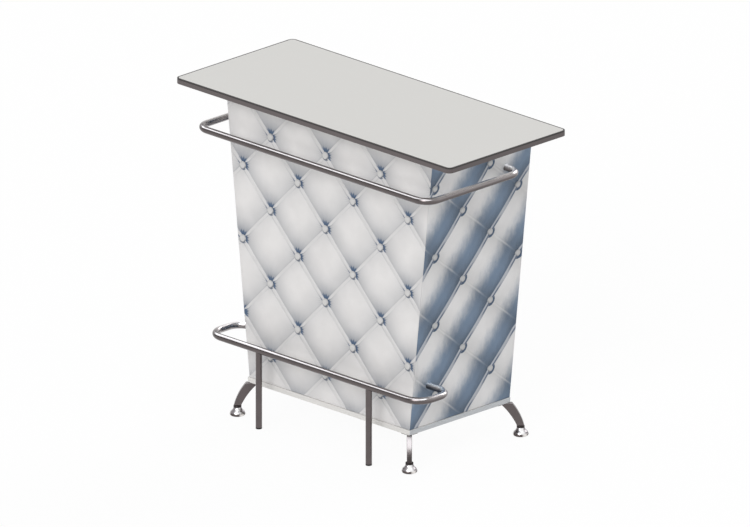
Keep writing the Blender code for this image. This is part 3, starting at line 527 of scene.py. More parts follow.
def button_leather(name, tone, rim_start):
    """Pale leather drawn over a button, with painted shade towards its rim, stronger on its lower side."""
    made, _, tuft = tufted(name)
    low_side = ramp(tuft["Off Strong"] + tuft["Off Faint"], 0.03, -0.07, 0.15, 0.95)
    rim = ramp(tuft["To Button"], rim_start, 0.070) * low_side
    return leather_finish(made, tint(rim, tone, colour(92, 99, 110)))


def metal(name, shade, roughness, streaks):
    """Polished metal with faint hand marks, a painted highlight, and painted shade with a painted dark
    reflection line, where the mesh's attributes ask for them.
    """
    made, tree = new_material(name)
    handled = use_group(HANDLED_METAL, object_place(tree))
    marks, lines = handled["Marks"], handled["Lines"]
    plain = tint(marks, shade, dimmed(shade, 0.9))
    # Painted shade and a painted dark reflection line.
    plain = tint(stored(tree, "painted_shade_and_reflection")["Fac"], plain, dimmed(shade, 0.3))
    varied = ramp(marks, 0.0, 1.0, roughness, roughness + 0.05) + lines * streaks
    # The pale colour is a painted highlight.
    return surface(made, Base_Color=tint(stored(tree, "painted_light")["Fac"], plain, colour(236, 231, 231)),
                   Metallic=1.0, Roughness=varied, Normal=bump(lines, 0.012, 0.0001))


def painted_reflection_chrome():
    """Chrome turned on a lathe, with painted reflections in bright and dark rays about the axis over the
    flank and the rim, and painted shade that darkens the rim and the sole; fine turning lines vary its
    roughness and bump.
    """
    made, tree = new_material("painted_reflection_chrome")
    along, across, height = parts(stored(tree, "about_axis")["Vector"])
    turn = calc("ARCTAN2", across, along) * 3.0
    # Painted reflections: bright and dark rays about the axis.
    flank_ray = ramp(calc("COSINE", turn + math.radians(105)), -1.0, 1.0)
    rim_ray = ramp(calc("COSINE", turn + math.radians(30)), 0.1, 1.0)
    lathe = put(tree, "TexNoise", {"W": height * 2600.0, "Scale": 1.0, "Detail": 2.0},
                noise_dimensions="1D")["Fac"]
    flank = tint(flank_ray, colour(132, 127, 130), colour(244, 243, 244))
    rim = tint(rim_ray, colour(88, 80, 79), colour(226, 222, 219))
    # Painted shade: the rim darker than the flank, and darker still at the sole.
    finish = tint(ramp(height, FOOT_RIM_HEIGHT * 0.7, FOOT_RIM_HEIGHT * 0.9), rim, flank)
    finish = tint(ramp(height, 0.0008, 0.0028, 0.7, 0.0), finish, colour(52, 47, 47))
    return surface(made, Base_Color=finish, Metallic=1.0, Roughness=ramp(lathe, 0.3, 0.7, 0.17, 0.25),
                   Normal=bump(lathe, 0.03, 0.0001))


def board(name, shade, roughness, speckle, gloss=0.35, rim=None, rim_shade=None):
    """A coated board: a shallow emboss and a fine speckle, and another shade where its rim mask says so."""
    made, tree = new_material(name)
    place = object_place(tree)
    grain = use_group(BOARD_GRAIN, place)
    height = grain["Height"]
    face = tint(grain["Speckle"], dimmed(shade, 1 - speckle), shade)
    if rim:
        face = tint(rim(place), face, rim_shade)
    return surface(made, Base_Color=face, Specular_IOR_Level=gloss, Normal=bump(height, 0.08, 0.0002),
                   Roughness=ramp(height, 0.3, 0.7, roughness - 0.05, roughness + 0.05))


def dark_outline_ring(place):
    """A dark ring painted on the laminate round its rounded outline, next to the edge band."""
    middle = (TOP_LOW + TOP_HIGH) / 2
    half = (TOP_HIGH - TOP_LOW) / 2 - Vector((TOP_CORNER_RADIUS, TOP_CORNER_RADIUS, 0))
    beyond = [calc("MAXIMUM", abs(part - centre) - reach, 0.0)
              for part, centre, reach in zip(parts(place)[:2], middle, half)]
    start = TOP_CORNER_RADIUS - EDGE_BAND - DARK_RING_WIDTH
    return ramp(length(*beyond), start - DARK_RING_FADE, start)


def darker_band_top(place):
    """The upper arris of the edge band, painted darker over its top few millimetres."""
    return ramp(parts(place)[2], TOP_HIGH.z - BAND_TOP_DARK_FROM, TOP_HIGH.z - BAND_TOP_DARK_TO)


def painted_shade_board_ends(place):
    """Painted shade on the end edges of the base board, which lean with the sides: a cool grey there, as on
    faces turned from the light.
    """
    along, _, height = parts(place)
    reach = abs(along) + (BASE_TOP - height) * SIDE_LEAN
    return ramp(reach, BASE_HIGH.x - BOARD_END_FROM, BASE_HIGH.x - BOARD_END_TO)


FRONT_LEATHER = front_leather()
SIDE_LEATHER = side_leather()
FRONT_BUTTON_LEATHER = button_leather("front_button_leather", colour(206, 205, 204), 0.044)
# The side buttons are a darker grey, and their painted shade rim starts nearer the middle.
SIDE_BUTTON_LEATHER = button_leather("side_button_leather", colour(192, 192, 192), 0.026)
DARK_CHROME = metal("dark_chrome", colour(104, 97, 97), 0.18, 0.05)
PAINTED_REFLECTION_CHROME = painted_reflection_chrome()
DARK_METAL = metal("dark_collar", colour(62, 57, 57), 0.3, 0.1)
STEEL = metal("zinc_steel", colour(176, 177, 180), 0.28, 0.12)
WORKTOP_LAMINATE = board("worktop_laminate", colour(217, 216, 213), 0.62, 0.03, 0.2, dark_outline_ring,
                         colour(46, 41, 41))
WHITE_MELAMINE = board("white_melamine", colour(223, 221, 218), 0.45, 0.02)
# The base board's end edges get a cool grey painted shade.
BASE_MELAMINE = board("base_melamine", colour(223, 221, 218), 0.45, 0.02, 0.35, painted_shade_board_ends,
                      colour(197, 200, 203))
DARK_BAND = board("dark_edge_band", colour(93, 85, 85), 0.45, 0.113, 0.5, darker_band_top, colour(38, 33, 33))
BLACK_PLASTIC = board("black_plastic", colour(38, 37, 37), 0.5, 0.15)
POLISHED = bpy.data.collections.new("polished")


# Mesh helpers

def only(kind, made):
    """The verts, edges or faces among what an operator made."""
    return [item for item in made if isinstance(item, kind)]


def open_edges(bm):
    return [edge for edge in bm.edges if edge.is_boundary]


def sharp_edges(bm, least=25):
    return [edge for edge in bm.edges if edge.is_manifold and edge.calc_face_angle() > math.radians(least)]


def placed(name, data):
    made = bpy.data.objects.new(name, data)
    bpy.context.scene.collection.objects.link(made)
    return made


def show(name, mesh, material, body, slot, *nodes):
    """Makes a piece from a mesh, rides it on its body and lets it stand for CAD nodes."""
    made = placed(name, mesh)
    mesh.materials.append(material)
    if material == DARK_CHROME:
        POLISHED.objects.link(made)
    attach(made, body)
    if nodes:
        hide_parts(*nodes)
    return made


def flat_faced(made):
    """Weights normals by face area, so that flat faces stay flat beside their rounded edges."""
    made.modifiers.new("flat_faces", "WEIGHTED_NORMAL").keep_sharp = True


def to_mesh(name, bm, sharp=35):
    """A finished mesh with outward normals, smooth up to an angle."""
    bmesh.ops.recalc_face_normals(bm, faces=bm.faces)
    mesh = bpy.data.meshes.new(name)
    bm.to_mesh(mesh)
    bm.free()
    mesh.shade_smooth()
    mesh.set_sharp_from_angle(angle=math.radians(sharp))
    return mesh


def points_of(mesh):
    places = np.empty(len(mesh.vertices) * 3)
    mesh.vertices.foreach_get("co", places)
    return places.reshape(-1, 3)


def set_points(mesh, points, place):
    """Moves a mesh's points to new places, given in the frame of a matrix."""
    place = np.array(place)
    mesh.vertices.foreach_set("co", (points @ place[:3, :3].T + place[:3, 3]).ravel())
    mesh.update()


def map_tufts(mesh, strong, faint):
    """Lays the lattice numbers of each point down as a UV map, for the leather."""
    corner_verts = np.empty(len(mesh.loops), dtype=np.int32)
    mesh.loops.foreach_get("vertex_index", corner_verts)
    tufts = mesh.uv_layers.new(name="tufts")
    tufts.data.foreach_set("uv", np.stack([strong, faint], axis=1)[corner_verts].ravel())


def mark(mesh, name, values):
    """Stores one number or one vector for each point, for a material to read."""
    kind, field = ("FLOAT", "value") if values.ndim == 1 else ("FLOAT_VECTOR", "vector")
    mesh.attributes.new(name, kind, "POINT").data.foreach_set(field, values.ravel())


def run_on(bm, faces, step, first=False):
    """Extrudes end faces along a step and returns the new end; a first run keeps its start faces."""
    made = bmesh.ops.extrude_face_region(bm, geom=faces)["geom"]
    bmesh.ops.translate(bm, vec=step, verts=only(BMVert, made))
    if not first:
        bmesh.ops.delete(bm, geom=faces, context="FACES")
    return only(BMFace, made)


def thicken(bm, step):
    """Makes a solid of a flat sheet."""
    run_on(bm, list(bm.faces), step, first=True)
    bmesh.ops.recalc_face_normals(bm, faces=bm.faces)


def bend(bm, faces, centre):
    """Turns end faces a quarter about an upright axis, as a tube bender does, and returns the new end."""
    made = bmesh.ops.spin(bm, geom=faces, cent=centre, axis=(0, 0, 1), angle=math.pi / 2, steps=BEND_STEPS)
    bmesh.ops.delete(bm, geom=faces, context="FACES")
    return only(BMFace, made["geom_last"])


def cut(bm, spot, facing, **how):
    """Cuts a mesh along a plane."""
    everything = [*bm.verts, *bm.edges, *bm.faces]
    return bmesh.ops.bisect_plane(bm, geom=everything, plane_co=spot, plane_no=facing, **how)["geom_cut"]


def round_edges(bm, edges, width, segments=2):
    bmesh.ops.bevel(bm, geom=edges, offset=width, segments=segments, profile=0.5, affect="EDGES", material=-1,
                    clamp_overlap=True)


def turned(profile, sides, place=Matrix()):
    """A profile of (radius, height) points turned about Z, then placed."""
    bm = bmesh.new()
    points = [bm.verts.new((radius, 0, height)) for radius, height in profile]
    edges = [bm.edges.new(pair) for pair in zip(points, points[1:])]
    bmesh.ops.spin(bm, geom=points + edges, cent=(0, 0, 0), axis=(0, 0, 1), angle=math.tau, steps=sides,
                   use_merge=True)
    bmesh.ops.remove_doubles(bm, verts=bm.verts, dist=1e-6)
    bmesh.ops.transform(bm, matrix=place, verts=bm.verts)
    return bm


def eased(radius, level, upward):
    """The corner of a turned profile from its end face to its side, taken off by a small edge."""
    return [(radius - TURNED_EDGE * inward, level + upward * TURNED_EDGE * onward)
            for inward, onward in ((1, 0), (0.3, 0.3), (0, 1))]


def joined(pieces):
    """Several bmeshes as one."""
    whole = bmesh.new()
    for piece in pieces:
        mesh = bpy.data.meshes.new("piece")
        bmesh.ops.recalc_face_normals(piece, faces=piece.faces)
        piece.to_mesh(mesh)
        piece.free()
        whole.from_mesh(mesh)
        bpy.data.meshes.remove(mesh)
    return whole


def side_name(side):
    return "right" if side > 0 else "left"


def half_length(height):
    """Half the body's outer length at a height."""
    return BASE_HIGH.x + (height - BASE_TOP) * SIDE_LEAN


def on_floor(node):
    """The place on the floor under the middle of a CAD node."""
    low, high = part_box(node)
    return Matrix.Translation(((low.x + high.x) / 2, (low.y + high.y) / 2, 0))


def softened(node, width, material, body, slot):
    """A copy of a CAD node with its sharp edges rounded, standing for it."""
    bm = bmesh.new()
    bm.from_mesh(frame["nodes"][node].data)
    bmesh.ops.remove_doubles(bm, verts=bm.verts, dist=1e-6)
    bmesh.ops.dissolve_limit(bm, angle_limit=math.radians(1), verts=bm.verts, edges=bm.edges)
    round_edges(bm, sharp_edges(bm), width)
    flat_faced(show(f"{node}_finished", to_mesh(node, bm), material, body, slot, node))


# Worktop

def rounded_sheet(inset):
    """The worktop's outline as a flat sheet, drawn in by an inset."""
    bm = bmesh.new()
    centre = Vector((0, (TOP_LOW.y + TOP_HIGH.y) / 2, TOP_LOW.z))
    size = TOP_HIGH - TOP_LOW
    spread = Matrix.Diagonal((size.x - 2 * inset, size.y - 2 * inset, 1, 1))
    place = Matrix.Translation(centre) @ spread
    bmesh.ops.create_grid(bm, x_segments=1, y_segments=1, size=0.5, matrix=place)
    bmesh.ops.bevel(bm, geom=list(bm.verts), offset=TOP_CORNER_RADIUS - inset, segments=24, profile=0.5,
                    affect="VERTICES", material=-1)
    return bm


def worktop():
    """The laminate slab inside its edge band."""
    band = rounded_sheet(0)
    ring = bmesh.ops.inset_region(band, faces=band.faces, thickness=EDGE_BAND, use_boundary=True,
                                  use_even_offset=True)["faces"]
    bmesh.ops.delete(band, geom=[face for face in band.faces if face not in ring], context="FACES")
    slab = rounded_sheet(EDGE_BAND + FIT)
    for name, bm, material, slot, node in (
            ("worktop_edge_banding", band, DARK_BAND, "edge_band", "worktop_edge_band"),
            ("worktop_slab", slab, WORKTOP_LAMINATE, "worktop_laminate", "worktop")):
        thicken(bm, (0, 0, TOP_HIGH.z - TOP_LOW.z))
        round_edges(bm, sharp_edges(bm, 60), TOP_EDGE_ROUNDING)
        flat_faced(show(name, to_mesh(name, bm), material, "cabinet", slot, node))


# Tufted pads

@dataclass
class Pad:
    """A pad's outline and lattice in its own plane; it shares its mitred edges with the next pad."""
    corners: list
    mitred: tuple
    lattice: Matrix
    strong: int
    welt_width: float
    cords: int
    button: float
    holes: list

    def edges(self):
        """Start, outward direction and mitre of each edge."""
        found = []
        corners = [Vector((*corner, 0)) for corner in self.corners]
        for start, end, mitre in zip(corners, corners[1:] + corners[:1], self.mitred):
            along = (end - start).normalized()
            found.append((start, Vector((along.y, -along.x, 0)), mitre))
        return found

    def lattice_numbers(self, places):
        """Strong and faint lattice numbers of points in the pad's plane."""
        back = np.array(self.lattice.inverted())
        numbers = places[:, :2] @ back[:2, :2].T + back[:2, 3]
        return numbers[:, self.strong], numbers[:, 1 - self.strong]

    def lattice_points(self, margin):
        """Buttons' places at least a margin inside the outline."""
        reach = range(-LATTICE_REACH, LATTICE_REACH + 1)
        spots = [self.lattice @ Vector((along, across, 0)) for along in reach for across in reach]
        edges = self.edges()
        return [spot for spot in spots
                if max((spot - start).dot(outward) for start, outward, _ in edges) < -margin]


def diamonds(along, across, turn):
    """A lattice of diamonds about an anchor, turned in the pad's plane."""
    half = TUFT_PITCH / 2
    cell = Matrix(((half, -half, 0, 0), (half, half, 0, 0), (0, 0, 1, 0), (0, 0, 0, 1)))
    return Matrix.Translation((along, across, 0)) @ Matrix.Rotation(turn, 4, "Z") @ cell


def welt(gap, width, cords):
    """Cross-section of a sewn welt from 0 to 1: one flattened cord, or two cords side by side."""
    share = np.abs(gap) / (width / 2)
    flat = np.clip(1 - share ** 4, 0, 1)
    if cords == 2:
        return 0.55 * flat + 0.45 * np.sqrt(np.clip(1 - (2 * share - 1) ** 2, 0, 1))
    return flat


def swell(gap, width):
    """How far the cover has risen from a welt, 0 to 1 in the middle of a tuft."""
    return np.sin(math.pi / 2 * np.clip((gap - width / 2) / (TUFT_CELL / 2 - width / 2), 0, 1))


def tuft_height(strong, faint, pad):
    """Height of the cover over the pad's back at lattice numbers."""
    off_strong = strong - np.round(strong)
    off_faint = faint - np.round(faint)
    gap_strong = np.abs(off_strong) * TUFT_CELL
    gap_faint = np.abs(off_faint) * TUFT_CELL
    rise_strong = swell(gap_strong, pad.welt_width)
    rise_faint = swell(gap_faint, FAINT_WELT_WIDTH)
    fold = 1 - (1 - rise_strong ** FOLD_SHARPNESS) * (1 - rise_faint ** FOLD_SHARPNESS)
    pillow = (rise_strong * rise_faint) ** PILLOW_FULLNESS
    height = BUTTON_SEAT + (FOLD_HEIGHT - BUTTON_SEAT) * fold + (PAD_THICKNESS - FOLD_HEIGHT) * pillow
    height += FAINT_WELT_HEIGHT * welt(gap_faint, FAINT_WELT_WIDTH, 1) * rise_strong ** 0.25
    height += WELT_HEIGHT * welt(gap_strong, pad.welt_width, pad.cords)
    reach = np.hypot(off_strong, off_faint) * TUFT_CELL - pad.button
    turn = np.arctan2(off_faint, off_strong)
    wander = 0.6 * np.sin(3.1 * np.round(strong) + 1.7 * np.round(faint))
    pleats = np.sin(PLEAT_COUNT * turn + wander) + 0.5 * np.sin(2.7 * PLEAT_COUNT * turn + 3 * wander)
    soft = np.exp(-np.clip(reach, 0, None) / PLEAT_REACH) * np.clip(reach / PLEAT_START, 0, 1)
    return height - PLEAT_DEPTH * soft * pleats * np.minimum(rise_strong, rise_faint) ** 0.3


def pad_sheet(pad):
    """A flat sheet cut to the pad's outline, with a grid crowded at the folds, a skirt and a back."""
    numbers = [pad.lattice.inverted() @ Vector((*corner, 0)) for corner in pad.corners]
    low = [math.floor(min(number[axis] for number in numbers)) for axis in (0, 1)]
    high = [math.ceil(max(number[axis] for number in numbers)) for axis in (0, 1)]
    span = [high[axis] - low[axis] for axis in (0, 1)]
    spread = Matrix.Diagonal((*span, 1, 1)) @ Matrix.Translation((0.5, 0.5, 0))
    bm = bmesh.new()
    bmesh.ops.create_grid(bm, x_segments=span[0] * TUFT_STEPS, y_segments=span[1] * TUFT_STEPS, size=0.5,
                          matrix=Matrix.Translation((*low, 0)) @ spread)
    for vert in bm.verts:
        for axis in (0, 1):
            vert.co[axis] -= TUFT_CROWDING * math.sin(math.tau * vert.co[axis]) / math.tau
    bmesh.ops.transform(bm, matrix=pad.lattice, verts=bm.verts)
    for start, outward, _ in pad.edges():
        cut(bm, start, outward, dist=1e-5, clear_outer=True)
    for start, outward, _ in pad.edges():
        for inset in RIM_CUTS:
            cut(bm, start - inset * outward, outward, dist=1e-6)
    for vert in only(BMVert, bmesh.ops.extrude_edge_only(bm, edges=open_edges(bm))["geom"]):
        vert.co.z = -1
    bmesh.ops.contextual_create(bm, geom=open_edges(bm))
    mesh = bpy.data.meshes.new("pad")
    bm.to_mesh(mesh)
    bm.free()
    return mesh


def shaped_pad(name, pad, place, material, node):
    """Raises the sheet into tufts, rolls its rim over, and places it on the body."""
    mesh = pad_sheet(pad)
    points = points_of(mesh)
    strong, faint = pad.lattice_numbers(points)
    under = points[:, 2] < -0.5
    height = tuft_height(strong, faint, pad)
    inside = np.full(len(points), np.inf)
    for start, outward, mitre in pad.edges():
        gap = -((points - np.array([*start[:2], 0]))[:, :2] @ np.array(outward[:2]))
        inside = np.minimum(inside, gap)
        if mitre:
            slope = PAD_RIM - RIM_ROLL - gap + np.minimum(MITRE_CLEARANCE, 0.3 * gap)
            height = np.maximum(height, slope)
            points[under & (gap < 1e-4), 0] += mitre
    share = np.clip(inside / RIM_BLEND, 0, 1)
    height = PAD_RIM + (height - PAD_RIM) * share * share * (3 - 2 * share)
    roll = np.clip(RIM_ROLL - inside, 0, RIM_ROLL)
    height -= RIM_ROLL - np.sqrt(RIM_ROLL ** 2 - roll ** 2)
    for spot in pad.holes:
        gap = np.hypot(points[:, 0] - spot[0], points[:, 1] - spot[1]) - RAIL_RADIUS
        height -= RAIL_DIMPLE * np.exp(-(np.clip(gap, 0, None) / RAIL_DIMPLE_REACH) ** 2)
    points[:, 2] = np.where(under, 0, height)
    set_points(mesh, points, place)
    map_tufts(mesh, strong, faint)
    bm = bmesh.new()
    bm.from_mesh(mesh)
    bpy.data.meshes.remove(mesh)
    made = show(name, to_mesh(name, bm, 60), material, "cabinet", "white_leather", node)


def button_seat(pad, spot):
    """How high a button sits: on its fold, and clear of a mitred or rolled edge beside it."""
    seat = float(tuft_height(*pad.lattice_numbers(np.array([spot])), pad)[0])
    for start, outward, mitre in pad.edges():
        gap = -(spot - start).dot(outward) - pad.button
        if mitre and gap > 0:
            seat = max(seat, PAD_RIM - RIM_ROLL - gap + MITRE_CLEARANCE)
        elif gap < 0:
            seat = max(seat, PAD_RIM - BUTTON_RISE)
    return seat


def pad_buttons(name, pad, place, material):
    """Covered buttons on the folds: domed caps with pinched rims, cut where they meet the pad's edge."""
    profile = [(0, BUTTON_RISE)]
    for step in range(1, BUTTON_STEPS + 1):
        angle = math.pi / 2 * step / BUTTON_STEPS
        profile.append((pad.button * math.sin(angle) ** 0.8, BUTTON_RISE * math.cos(angle) ** 0.9))
    profile += [(pad.button * share, level) for share, level in BUTTON_UNDERSIDE]
    buttons = []
    for spot in pad.lattice_points(-0.3 * pad.button):
        button = turned(profile, BUTTON_SIDES, Matrix.Translation((spot.x, spot.y, button_seat(pad, spot))))
        for start, outward, _ in pad.edges():
            if -(spot - start).dot(outward) < pad.button + RIM_ROLL:
                rim = cut(button, start - RIM_ROLL * outward, outward, clear_outer=True)
                bmesh.ops.holes_fill(button, edges=only(BMEdge, rim), sides=0)
        buttons.append(button)
    mesh = to_mesh(name, joined(buttons), 50)
    points = points_of(mesh)
    map_tufts(mesh, *pad.lattice_numbers(points))
    set_points(mesh, points, place)
    if place.determinant() < 0:
        mesh.flip_normals()
    show(name, mesh, material, "cabinet", "white_leather")


def upholster(name, pad, place, leather, button_cover):
    shaped_pad(f"{name}_leather_pad", pad, place, leather, f"{name}_tufted_pad")
    pad_buttons(f"{name}_buttons", pad, place, button_cover)


def front_pad():
    """The front pad, mitred into both side pads at its leaning edges."""
    low = BASE_TOP + FIT
    high = BODY_TOP - FIT
    lip = (PAD_THICKNESS - PAD_RIM + RIM_ROLL) * LEAN_STRETCH + FIT
    back = (PAD_RIM - RIM_ROLL) * LEAN_STRETCH
    low_half, high_half = half_length(low) - lip, half_length(high) - lip
    corners = [(-low_half, low), (low_half, low), (high_half, high), (-high_half, high)]
    lattice = diamonds(FRONT_TUFT_SHIFT, BODY_TOP - TUFT_TOP_ROW, 0)
    pad = Pad(corners, (0, -back, 0, back), lattice, 0, FRONT_WELT_WIDTH, 1, FRONT_BUTTON_RADIUS, [])
    place = Matrix(((1, 0, 0, 0), (0, 0, -1, BODY_FRONT + PAD_THICKNESS), (0, 1, 0, 0), (0, 0, 0, 1)))
    upholster("front", pad, place, FRONT_LEATHER, FRONT_BUTTON_LEATHER)


def side_pad(side):
    """A leaning side pad with a dimple round each tube that goes through it."""
    high = (BODY_TOP - BASE_TOP - 2 * FIT) * LEAN_STRETCH
    front = BODY_FRONT + PAD_THICKNESS - PAD_RIM + RIM_ROLL + FIT
    corners = [(front, 0), (BODY_REAR, 0), (BODY_REAR, high), (front, high)]
    lattice = diamonds(BODY_FRONT + SIDE_TUFT_START, high - SIDE_TUFT_DROP * LEAN_STRETCH, SIDE_TUFT_TURN)
    holes = [(BODY_FRONT + tube["reach"], (tube["height"] - BASE_TOP - FIT) * LEAN_STRETCH)
             for tube in RAILS.values()]
    mitred = (0, 0, 0, PAD_RIM - RIM_ROLL)
    pad = Pad(corners, mitred, lattice, 1, SIDE_WELT_WIDTH, 2, SIDE_BUTTON_RADIUS, holes)
    back = half_length(BASE_TOP + FIT) - PAD_THICKNESS * LEAN_STRETCH
    place = Matrix((
        (0, side * math.sin(LEAN_ANGLE), side * LEAN_STRETCH, side * back),
        (1, 0, 0, 0),
        (0, math.cos(LEAN_ANGLE), 0, BASE_TOP + FIT),
        (0, 0, 0, 1),
    ))
    upholster(side_name(side), pad, place, SIDE_LEATHER, SIDE_BUTTON_LEATHER)


# Rails, posts and legs

def rail(name, height, half, stand_off, reach, front_bend, end_bend):
    """A tube bent round the front and both sides, its ends sunk in the side pads."""
    front = BODY_FRONT - stand_off
    end = BODY_FRONT + reach
    seat = half_length(height) - TUBE_SUNK
    turn_in = half - end_bend
    turn_side = half - front_bend
    straight_side = end - end_bend - front - front_bend
    into_pad = (seat - turn_in, 0, 0)
    bm = bmesh.new()
    start = Matrix.Translation((-seat, end, height)) @ Matrix.Rotation(-math.pi / 2, 4, "Y")
    bmesh.ops.create_circle(bm, cap_ends=True, segments=RAIL_SIDES, radius=RAIL_RADIUS, matrix=start)
    faces = run_on(bm, list(bm.faces), into_pad, first=True)
    for centre, step in (((-turn_in, end - end_bend, height), (0, -straight_side, 0)),
                         ((-turn_side, front + front_bend, height), (2 * turn_side, 0, 0)),
                         ((turn_side, front + front_bend, height), (0, straight_side, 0)),
                         ((turn_in, end - end_bend, height), into_pad)):
        faces = run_on(bm, bend(bm, faces, centre), step)
    mesh = to_mesh(name, bm)
    mark_rail(mesh, height, half, front, end, front_bend, end_bend)
    show(f"{name}_tube", mesh, DARK_CHROME, "cabinet", "dark_chrome", name)


def mark_rail(mesh, height, half, front, end, front_bend, end_bend):
    """Where a rail's finish gets a painted highlight along its sides and ends, and painted shade: a painted
    dark reflection line along its front and darker undersides along its sides.
    """
    across, along, level = points_of(mesh).T
    rise = (level - height) / RAIL_RADIUS
    upper = np.clip((rise + 0.1) / 0.8, 0, 1)
    crown = np.clip((rise - 0.5) / 0.4, 0, 1)
    under = np.clip((0.05 - rise) / 0.5, 0, 1)
    inner = np.clip((half - np.abs(across)) / RAIL_RADIUS, 0, 1)
    at_side = np.clip((along - front - RAIL_RADIUS) / front_bend, 0, 1)
    at_end = np.clip((along - end + end_bend) / end_bend, 0, 1)
    lean = np.arctan2(front - along, level - height)
    line = np.exp(-((lean - DARK_LINE_ANGLE) / DARK_LINE_SPREAD) ** 2)
    # Painted highlight on the top and crown, stronger towards the ends, and on the inner side short of the
    # ends.
    painted_bright = np.maximum((TOP_HIGHLIGHT + END_HIGHLIGHT * at_end) * upper, CROWN_HIGHLIGHT * crown)
    mark(mesh, "painted_light", at_side * np.maximum(painted_bright, INNER_HIGHLIGHT * inner * (1 - at_end)))
    mark(mesh, "painted_shade_and_reflection", (1 - at_side) * line + UNDER_SHADE * at_side * under)


def posts():
    """Posts under the foot rail, each with a plug-in glide at the floor."""
    top = RAILS["foot_rail"]["height"]
    for side in (-1, 1):
        node = f"{side_name(side)}_foot_rail_post"
        glide = f"{node}_glide"
        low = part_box(node)[0].z
        foot = on_floor(node)
        tube = [(0, low), (POST_RADIUS - POST_BEVEL, low), (POST_RADIUS, low + POST_BEVEL),
                (POST_RADIUS, top), (0, top)]
        cap = [(0, 0), *eased(POST_RADIUS, 0, 1), (POST_RADIUS, low - FIT), (0, low - FIT)]
        mesh = to_mesh(node, turned(tube, RAIL_SIDES, foot))
        show(f"{node}_tube", mesh, DARK_CHROME, "cabinet", "dark_chrome", node)
        mesh = to_mesh(glide, turned(cap, RAIL_SIDES, foot))
        show(f"{glide}_cap", mesh, BLACK_PLASTIC, "cabinet", "black_plastic", glide)


def arc_between(start, end, bulge, steps):
    """Points of the shallow arc from start to end that bulges to its left, without the end point."""
    chord = end - start
    radius = (chord.length ** 2 / 4 + bulge ** 2) / (2 * bulge)
    left = Vector((-chord.y, chord.x)).normalized()
    centre = (start + end) / 2 + left * (bulge - radius)
    sweep = 2 * math.asin(chord.length / (2 * radius))
    return [centre + Matrix.Rotation(-sweep * step / steps, 2) @ (start - centre) for step in range(steps)]


def leg_blade():
    """A sabre leg cut from plate, with rounded edges."""
    bottom = FOOT_HEIGHT + COLLAR_HEIGHT + 2 * FIT
    top = BASE_BOTTOM - 2 * FIT
    roots = [Vector((side * LEG_ROOT_WIDTH / 2 - LEG_ROOT_INSET, top)) for side in (1, -1)]
    ankles = [Vector((LEG_REACH + side * LEG_ANKLE_WIDTH / 2, bottom)) for side in (1, -1)]
    outer, inner = [arc_between(root, ankle, LEG_BULGE, LEG_STEPS) for root, ankle in zip(roots, ankles)]
    blade = bmesh.new()
    outline = outer + ankles + inner[::-1]
    blade.faces.new([blade.verts.new((point.x, -LEG_THICKNESS / 2, point.y)) for point in outline])
    thicken(blade, (0, LEG_THICKNESS, 0))
    round_edges(blade, sharp_edges(blade, 40), LEG_BEVEL, 3)
    return blade


def leg_plate():
    """The fixing plate behind a leg, pointed towards it, and its four screws."""
    near = -LEG_THICKNESS / 2 - LEG_PLATE_MARGIN
    far = near - LEG_PLATE_LENGTH
    half = LEG_PLATE_WIDTH / 2
    shoulder = -half - LEG_PLATE_MARGIN
    level = BASE_BOTTOM - FIT - LEG_PLATE_THICKNESS
    spots = [(near, -LEG_THICKNESS / 2), (near, LEG_THICKNESS / 2), (shoulder, half), (far, half),
             (far, -half), (shoulder, -half)]
    plate = bmesh.new()
    plate.faces.new([plate.verts.new((*spot, level)) for spot in spots])
    thicken(plate, (0, 0, LEG_PLATE_THICKNESS))
    corners = [edge for edge in sharp_edges(plate) if abs(edge.verts[0].co.z - edge.verts[1].co.z) > 1e-4]
    round_edges(plate, corners, LEG_PLATE_CORNER, 6)
    round_edges(plate, sharp_edges(plate, 60), LEG_PLATE_BEVEL)
    spots = [(shoulder + (far - shoulder) * along, half * across, level)
             for along, across in LEG_SCREW_SHARES]
    return plate, screws_from_below(spots)


def mark_leg(mesh, place):
    """Painted shade on the narrow faces of a leg, darker towards its ankle."""
    points = points_of(mesh)
    across = (points - np.array(place.translation)) @ np.array(place.col[1][:3])
    ankle = np.clip((LEG_SHADE_TOP - points[:, 2]) / LEG_SHADE_SPAN, 0, 1)
    mark(mesh, "painted_shade_and_reflection", LEG_SHADE * ankle * (np.abs(across) < LEG_THICKNESS / 2 - LEG_BEVEL / 2))


def foot_profile():
    """A bell foot with a flat sole, a round rim and a hollow flank, and the threaded stud above it."""
    inward, upward = FOOT_SOLE_EASING
    points = [(0, 0), (FOOT_SOLE_RADIUS - inward, 0), (FOOT_SOLE_RADIUS, upward)]
    rim = FOOT_RIM_HEIGHT / 2
    for step in range(-5, 6):
        angle = math.radians(10) * step
        points.append((FOOT_RADIUS - rim + rim * math.cos(angle), rim + rim * math.sin(angle)))
    for step in range(2, FOOT_FLANK_STEPS + 1):
        share = step / FOOT_FLANK_STEPS
        radius = FOOT_NECK_RADIUS + (FOOT_RADIUS - FOOT_NECK_RADIUS) * (1 - share) ** FOOT_FLANK_CURVE
        points.append((radius, FOOT_RIM_HEIGHT + (FOOT_HEIGHT - FOOT_RIM_HEIGHT) * share))
    points += [(FOOT_NECK_RADIUS - FOOT_NECK_EASING, FOOT_HEIGHT), (STUD_RADIUS, FOOT_HEIGHT)]
    turns = int(STUD_LENGTH / THREAD_PITCH)
    for turn in range(turns):
        level = FOOT_HEIGHT + turn * THREAD_PITCH
        for depth, share in ((0, 0.3), (THREAD_DEPTH, 0.65), (0, 1)):
            points.append((STUD_RADIUS - depth, level + THREAD_PITCH * share))
    return points + [(0, FOOT_HEIGHT + turns * THREAD_PITCH)]


